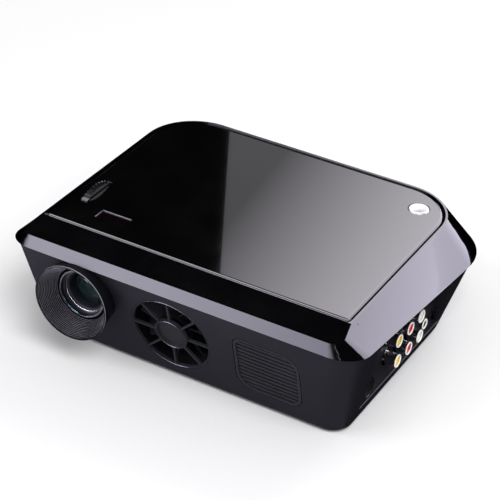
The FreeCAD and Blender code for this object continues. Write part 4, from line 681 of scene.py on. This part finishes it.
def rounded_section(radius, half):
    """Eight corners of a small round section, at a radius, seated half into the face."""
    return [(radius + half * math.cos(math.radians(turn)), half * math.sin(math.radians(turn)))
            for turn in range(0, 360, 45)]


grille_rim = spin("grille_rim_edge", rounded_section(grille_radius - 0.0006, 0.0002),
                  grille_face, grille_axis, "case", "black_trim", finish="polished_edge")
grille_hub = spin("grille_hub_edge", rounded_section(HUB_EDGE_RADIUS, 0.0003),
                  grille_face, grille_axis, "case", "black_trim", finish="polished_edge")
print("grille radius", round(grille_radius * 1000, 2), "mm; edges", grille_rim.name, grille_hub.name)

# %% [markdown]
# ## New pieces: glare rings of the hood
# The inside of a lens hood is stepped, so that stray light is caught between the steps. Each step has
# a sharp lip, and the lips are what one sees: fine pale circles, close together. Their radii and
# depths follow the steps of the solid, so that every lip sits on its own ledge. They are satin, since a
# mirror-like lip this thin sparkles unevenly in a render, and their grey is far paler than the hood's
# black: partly the real shine of the satin, partly a painted highlight. The outer edge of the hood is a
# pale grey bead, a painted highlight of its rim.

# %% Hood rings
LIPS = {
    # These pale greys are painted highlights on edges of black plastic.
    "worn_edge": ("worn_rim_edge", (0.42, 0.42, 0.46), 0.30, 0.06, 2600.0, 0.3, 0.1),
    "glare_lip": ("glare_lip", (0.11, 0.11, 0.125), 0.26, 0.04, 2600.0, 0.3, 0.05),
    "glare_satin": ("satin_glare_ring", (0.085, 0.085, 0.097), 0.24, 0.05, 2600.0, 0.3, 0.1, 0.9),
}
for lip, recipe in LIPS.items():
    finishes[lip] = moulded(*recipe)
hood_low, hood_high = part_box("lens_hood")
MOUTH, THROAT, CONE_DEPTH, STEPS = 0.0251, 0.0184, 0.0125, 13
LIP_HALF = 0.00013              # half the thickness of a lip
FINE_STEPS = 144                # round a ring that is seen close to
# The hood edge is pale grey: a painted highlight of the hood's rim.
hood_edge = spin("hood_edge", rounded_section((hood_high.x - hood_low.x) / 2.0 - 0.0004, 0.00042),
                 (lens_x, hood_low.y + 0.00043, lens_z), ALONG_Y, "case", "black_trim", FINE_STEPS,
                 "worn_edge")
glare_rings = []
# Each glare ring's pale grey is partly painted highlight, partly the real shine of its satin.
for step in range(1, STEPS + 1):
    radius = MOUTH - step * (MOUTH - THROAT) / STEPS
    depth = hood_low.y + step * CONE_DEPTH / STEPS
    glare_rings.append(spin(f"glare_ring_{step:02d}", rounded_section(radius, LIP_HALF),
                            (lens_x, depth, lens_z), ALONG_Y, "case", "black_trim", FINE_STEPS,
                            "glare_satin"))
print("hood edge and", len(glare_rings), "glare rings")

# %% [markdown]
# ## New pieces: socket faces
# Each phono socket's nickel sleeve ends in a bright rim round its coloured mouth. It is what one sees
# first, so each of the six gets its own small turned ring with a rounded lip, on the front of the
# sleeve, in the white plastic of the cores: a painted highlight that stands in for the shine of the rim.

# %% Socket faces
FACE_SECTION = [(0.0035, 0.00002), (0.0035, 0.0005), (0.0037, 0.0008), (0.0041, 0.0008),
                (0.0043, 0.0005), (0.0043, 0.00002)]
faces = []
for colour in ("yellow", "red", "white"):
    core_low, core_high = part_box(f"rca_cores_{colour}")
    radius = (core_high.y - core_low.y) / 2.0
    for level, height in (("low", core_low.z + radius), ("high", core_high.z - radius)):
        place = (core_high.x + 0.0005, (core_low.y + core_high.y) / 2.0, height)
        # Each ring takes the white core plastic: a painted highlight of the nickel rim.
        faces.append(spin(f"socket_face_{colour}_{level}", FACE_SECTION, place, ALONG_X, "case",
                          "core_white", 64))
print(len(faces), "socket faces")

# %% [markdown]
# ## New pieces: collars of the power inlet and the phones jack
# The inlet is black in a black bay, and only its turned collar shows. A moulded collar has a rounded
# front edge, which is added here as one more small ring. The phones jack has a pale ring round its
# mouth, so it gets a smaller and paler one in the same way.

# %% Collars
def front_centre(low, high):
    """The middle of a piece's outermost face on the socket side."""
    return (high.x, (low.y + high.y) / 2.0, (low.z + high.z) / 2.0)


PHONES_COLLAR_RADIUS = 0.0031
inlet_low, inlet_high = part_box("power_inlet")
inlet_collar = spin("inlet_collar", rounded_section((inlet_high.y - inlet_low.y) / 2.0 - 0.0006, 0.0004),
                    front_centre(inlet_low, inlet_high), ALONG_X, "case", "jack_black",
                    finish="polished_edge")
phones_low, phones_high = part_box("phones_jack")
phones_collar = spin("phones_collar", rounded_section(PHONES_COLLAR_RADIUS, 0.0006),
                     front_centre(phones_low, phones_high), ALONG_X, "case", "jack_ring", 64,
                     "core_white")
print("inlet collar at", [round(v, 4) for v in inlet_high], "and", phones_collar.name)

# %% [markdown]
# ## New piece: the window's bright edge
# The smoked window sits in the lid with a hair of a gap, and the lid's edge round it is slightly rounded
# and catches the light. A thin closed tube that follows the rounded rectangle is enough, so this one is
# a curve: four straight sides, rounded corners and a bevel for its thickness.

# %% Window edge
def rounded_loop(low, high, radius, height, steps=6):
    """Points round a rectangle with rounded corners, all at one height."""
    points = []
    corners = ((high.x - radius, high.y - radius, 0.0), (low.x + radius, high.y - radius, 90.0),
               (low.x + radius, low.y + radius, 180.0), (high.x - radius, low.y + radius, 270.0))
    for x, y, start in corners:
        for step in range(steps + 1):
            turn = math.radians(start + 90.0 * step / steps)
            points.append((x + radius * math.cos(turn), y + radius * math.sin(turn), height))
    return points


def thin_bead(name, points, radius, body, slot, finish=None, closed=True):
    """A round bead along points."""
    line = bpy.data.curves.new(name, "CURVE")
    line.dimensions = "3D"
    spline = line.splines.new("POLY")
    spline.points.add(len(points) - 1)
    for point, place in zip(spline.points, points):
        point.co = (*place, 1.0)
    spline.use_cyclic_u = closed
    line.bevel_depth = radius
    line.bevel_resolution = 3
    line.materials.append(finishes[finish or slot])
    piece = bpy.data.objects.new(name, line)
    bpy.context.collection.objects.link(piece)
    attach(piece, body)
    return piece


window_low, window_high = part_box("infrared_window")
window_loop = rounded_loop(window_low, window_high, 0.0011, window_high.z + 0.0003)
window_edge = thin_bead("window_edge", window_loop, 0.00035, "lid", "gloss_lid")
print("window", [round(v * 1000, 1) for v in window_high - window_low], "mm")

# %% [markdown]
# ## New piece: the lower edge of the socket bay
# The socket panel is a separate moulding, and its lowest edge stands a hair proud of the case, so a
# thin line of light runs along it. That line is drawn as a thin bead in a grey far paler than the black
# case: a painted highlight. The bead needs two points: the outermost low corners of the panel,
# which are found among the corners of its own mesh.

# %% Bay edge
SILL_HEIGHT = 0.0004            # how far above the lowest corner still counts as the sill
SILL_END = 0.0006               # how far from its end still counts as the end
panel = [vertex.co for vertex in nodes["socket_panel"].data.vertices]
lowest = min(place.z for place in panel)
sill = sorted((place for place in panel if place.z < lowest + SILL_HEIGHT),
              key=lambda place: (place.y, place.x))
fore = max((p for p in sill if p.y < sill[0].y + SILL_END), key=lambda p: p.x)
aft = max((p for p in sill if p.y > sill[-1].y - SILL_END), key=lambda p: p.x)
# The bead is pale grey on the black case: a painted highlight of the sill.
bay_edge = thin_bead("bay_edge", [fore.copy(), aft.copy()], 0.0002, "case", "satin_shell",
                     "glare_lip", closed=False)
print("bay edge from", [round(v, 4) for v in fore], "to", [round(v, 4) for v in aft])

# %% [markdown]
# ## The camera
# A camera is a position and three axes. This one looks down at about 33 degrees on the corner between
# the front and the socket side, from a little over a metre away, with a long lens so that the sides stay
# almost parallel. It is rolled by 2.6 degrees, as a hand-held camera is.

# %% Camera
def look_from(azimuth, elevation, roll, position, focal):
    turn, lift, tilt = (math.radians(angle) for angle in (azimuth, elevation, roll))
    back = Vector((math.sin(turn) * math.cos(lift), -math.cos(turn) * math.cos(lift), math.sin(lift)))
    level = (-back).cross(Vector((0.0, 0.0, 1.0))).normalized()
    upright = back.cross(level)
    right = level * math.cos(tilt) + upright * math.sin(tilt)
    above = upright * math.cos(tilt) - level * math.sin(tilt)
    axes = Matrix((right, above, back)).transposed().to_4x4()
    camera = bpy.data.objects.new("studio_camera", bpy.data.cameras.new("studio_camera"))
    camera.matrix_world = Matrix.Translation(position) @ axes
    camera.data.sensor_width = 36.0
    camera.data.lens = focal
    camera.data.clip_start = 0.01
    camera.data.clip_end = 20.0
    bpy.context.collection.objects.link(camera)
    bpy.context.scene.camera = camera
    return camera


camera = look_from(28.674, 32.935, 2.585, Vector((0.46405, -0.85990, 0.68085)), 130.48)
print("camera at", [round(value, 3) for value in camera.location], "lens", camera.data.lens)

# %% [markdown]
# ## The studio: floor and world
# Glossy black shows its surroundings more than itself, so the room matters as much as the finish. The
# world is white to the camera and in reflections, and a plain soft grey as a light. The floor is pale
# paper, which keeps the soft shadow under the case.

# %% Floor and world
scene = bpy.context.scene
scene.view_settings.view_transform = "Standard"
world = bpy.data.worlds.new("studio")
scene.world = world
world.use_nodes = True
sky = world.node_tree
rays = add(sky, "ShaderNodeLightPath", (-700, 200))
seen = maths(sky, "MAXIMUM", rays.outputs["Is Camera Ray"], rays.outputs["Is Transmission Ray"],
             (-500, 200))
seen = maths(sky, "MAXIMUM", seen, rays.outputs["Is Glossy Ray"], (-350, 200))
AS_LIGHT, AS_SEEN = 0.50, 1.0
strength = spread(sky, seen, 0.0, 1.0, AS_LIGHT, AS_SEEN, (-150, 200))
sky.links.new(strength, sky.nodes["Background"].inputs["Strength"])
sky.nodes["Background"].inputs["Color"].default_value = (1.0, 1.0, 1.0, 1.0)


def paper_floor():
    """A flat grid under a pale paper finish whose tone varies very slightly."""
    bpy.ops.mesh.primitive_grid_add(x_subdivisions=40, y_subdivisions=40, size=6.0,
                                    location=(0.0, 0.0, -0.0002))
    floor = bpy.context.object
    floor.name = "studio_floor"
    material, tree, surface = start_material("studio_paper")
    place = add(tree, "ShaderNodeTexCoord", (-700, 0))
    pulp = add(tree, "ShaderNodeTexNoise", (-500, 0), Vector=place.outputs["Object"], Scale=300.0,
               Detail=3.0)
    tree.links.new(blend(tree, pulp.outputs["Fac"], (0.86, 0.86, 0.87), (0.89, 0.89, 0.90), (-250, 0)),
                   surface.inputs["Base Color"])
    surface.inputs["Roughness"].default_value = 0.9
    surface.inputs["Specular IOR Level"].default_value = 0.0
    floor.data.materials.append(material)
    return floor


floor = paper_floor()
print("floor and world ready")

# %% [markdown]
# ## The studio: lamps
# Three large soft lamps light the shapes at a plain level: the key from the right and the front, a weak
# fill from the left, and one behind. They stay out of reflections, where the cards of the next step
# do their work.

# %% Lamps
LAMP_AIM = (0.0, 0.0, 0.03)


def soft_lamp(name, position, aim, size, watts, tint=(1.0, 1.0, 1.0)):
    lamp = bpy.data.lights.new(name, "AREA")
    lamp.shape = "DISK"
    lamp.size = size
    lamp.energy = watts
    lamp.color = tint
    piece = bpy.data.objects.new(name, lamp)
    piece.location = position
    piece.rotation_euler = (Vector(aim) - Vector(position)).to_track_quat("-Z", "Y").to_euler()
    piece.visible_glossy = False
    bpy.context.collection.objects.link(piece)
    return piece


lamps = [
    soft_lamp("key_lamp", (1.0, -0.7, 1.6), LAMP_AIM, 1.2, 26.0),
    soft_lamp("fill_lamp", (-1.2, -1.2, 1.2), LAMP_AIM, 1.4, 10.0),
    soft_lamp("back_lamp", (0.2, 1.6, 1.4), LAMP_AIM, 1.2, 12.0),
]
print(len(lamps), "lamps")

# %% [markdown]
# ## The studio: cards
# Gloss needs something to mirror, so a few cards stand round the table, as a product photographer would
# put them. Pale ones: behind on the right for the side slopes, far behind for the right part of the lid,
# overhead in front for the rounded edges, and flat and upright before the case for the front band. Black
# ones keep the white room out of the rest. A card is never seen itself, only mirrored. The cards are
# placed and made bright for the one camera above, where black plastic mirrors only a few parts in a
# hundred. From a low view it mirrors far more: with the camera to the left and 20 degrees up, the black
# lid turns nearly white, and from straight ahead the strip before it does. A scene that is to be seen
# from all sides needs dimmer and smaller cards.

# %% Reflection cards
def card(name, corners, colour, fade=None):
    """A flat card that shows only in reflections. A fade is given as (low X, high X, colour at the low
    end, slant), and slant is how much of Z counts as X."""
    mesh = bpy.data.meshes.new(name)
    mesh.from_pydata([Vector(corner) for corner in corners], [], [tuple(range(len(corners)))])
    material = bpy.data.materials.new(name)
    material.use_nodes = True
    tree = material.node_tree
    tree.nodes.clear()
    glow = add(tree, "ShaderNodeEmission", (0, 0))
    if fade:
        low, high, low_colour, slant = fade
        place = add(tree, "ShaderNodeTexCoord", (-700, 0))
        axes = add(tree, "ShaderNodeSeparateXYZ", (-500, 0), Vector=place.outputs["Object"])
        rise = maths(tree, "MULTIPLY", axes.outputs["Z"], slant)
        slanted = maths(tree, "ADD", axes.outputs["X"], rise)
        ramp = spread(tree, slanted, low, high, 0.0, 1.0, (-350, 0))
        tree.links.new(blend(tree, ramp, low_colour, colour, (-150, 0)), glow.inputs["Color"])
    else:
        glow.inputs["Color"].default_value = (*colour, 1.0)
    leave = add(tree, "ShaderNodeOutputMaterial", (200, 0))
    tree.links.new(glow.outputs["Emission"], leave.inputs["Surface"])
    piece = bpy.data.objects.new(name, mesh)
    mesh.materials.append(material)
    bpy.context.collection.objects.link(piece)
    piece.visible_camera = False
    piece.visible_diffuse = False
    piece.visible_transmission = False
    piece.visible_shadow = False
    return piece


def flat(height, *places):
    """Corners of a card that lies level, from pairs of X and Y."""
    return [(x, y, height) for x, y in places]


def upright(start, end, low, high):
    """Corners of a card that stands on a line from start to end, between two heights."""
    return [(*start, low), (*end, low), (*end, high), (*start, high)]


BLACK = (0.0, 0.0, 0.0)
cards = [
    card("lid_card", [(-0.534, 0.9, 0.55), (-0.10, 0.9, 0.55), (-0.10, 0.9, 0.93), (-0.545, 0.9, 0.93)],
         (3.5, 3.33, 3.62), (-0.082, 0.238, (0.42, 0.41, 0.44), 0.6)),
    card("back_shade", upright((-1.8, 0.91), (0.40, 0.91), 0.0, 2.2), BLACK),
    card("side_card", upright((0.40, 0.9), (1.8, 0.9), 0.0, 1.25), (2.8, 2.65, 3.2)),
    card("side_sheet", flat(0.002, (0.19, 0.33), (1.8, 0.33), (1.8, 0.9), (0.19, 0.9)),
         (2.75, 2.6, 3.15), (0.20, 0.85, (1.85, 1.75, 2.15), 0.0)),
    card("edge_strip", upright((-0.10, 0.9), (0.40, 0.9), 0.30, 1.0), (3.3, 3.2, 3.5)),
    card("edge_card", [(-1.2, -0.4, 1.5), (0.6, -0.4, 1.5), (0.6, 0.1, 1.7), (-1.2, 0.1, 1.7)],
         (6.0, 5.8, 6.4)),
    card("lip_card", flat(0.002, (-0.26, -0.205), (0.09, -0.205), (0.02, -0.6), (-0.55, -0.6)),
         (3.6, 3.5, 4.3), (-0.12, 0.06, (6.2, 6.0, 7.3), 0.0)),
    card("lip_screen", upright((-0.60, -0.6), (0.05, -0.6), 0.0, 0.5),
         (4.2, 4.1, 5.0), (-0.22, -0.10, (7.6, 7.3, 8.8), 0.0)),
    card("front_sheet", flat(0.0025, (-0.35, -0.2), (0.25, -0.2), (0.25, -0.08), (-0.35, -0.08)),
         (0.15, 0.15, 0.19)),
    card("table_shade", flat(0.001, (-1.5, -1.2), (1.5, -1.2), (1.5, 0.91), (-1.5, 0.91)), BLACK),
    card("front_shade", upright((-0.6, -1.9), (0.9, -1.9), 0.0, 3.5), BLACK),
    card("corner_shade", upright((0.9, -1.9), (2.0, -0.9), 0.0, 3.5), BLACK),
    card("right_shade", upright((2.0, -0.9), (2.0, 0.9), 0.0, 3.5), BLACK),
    card("left_shade", upright((-1.6, -1.9), (-1.6, 0.9), 0.0, 1.0), BLACK),
]
print([piece.name for piece in cards])
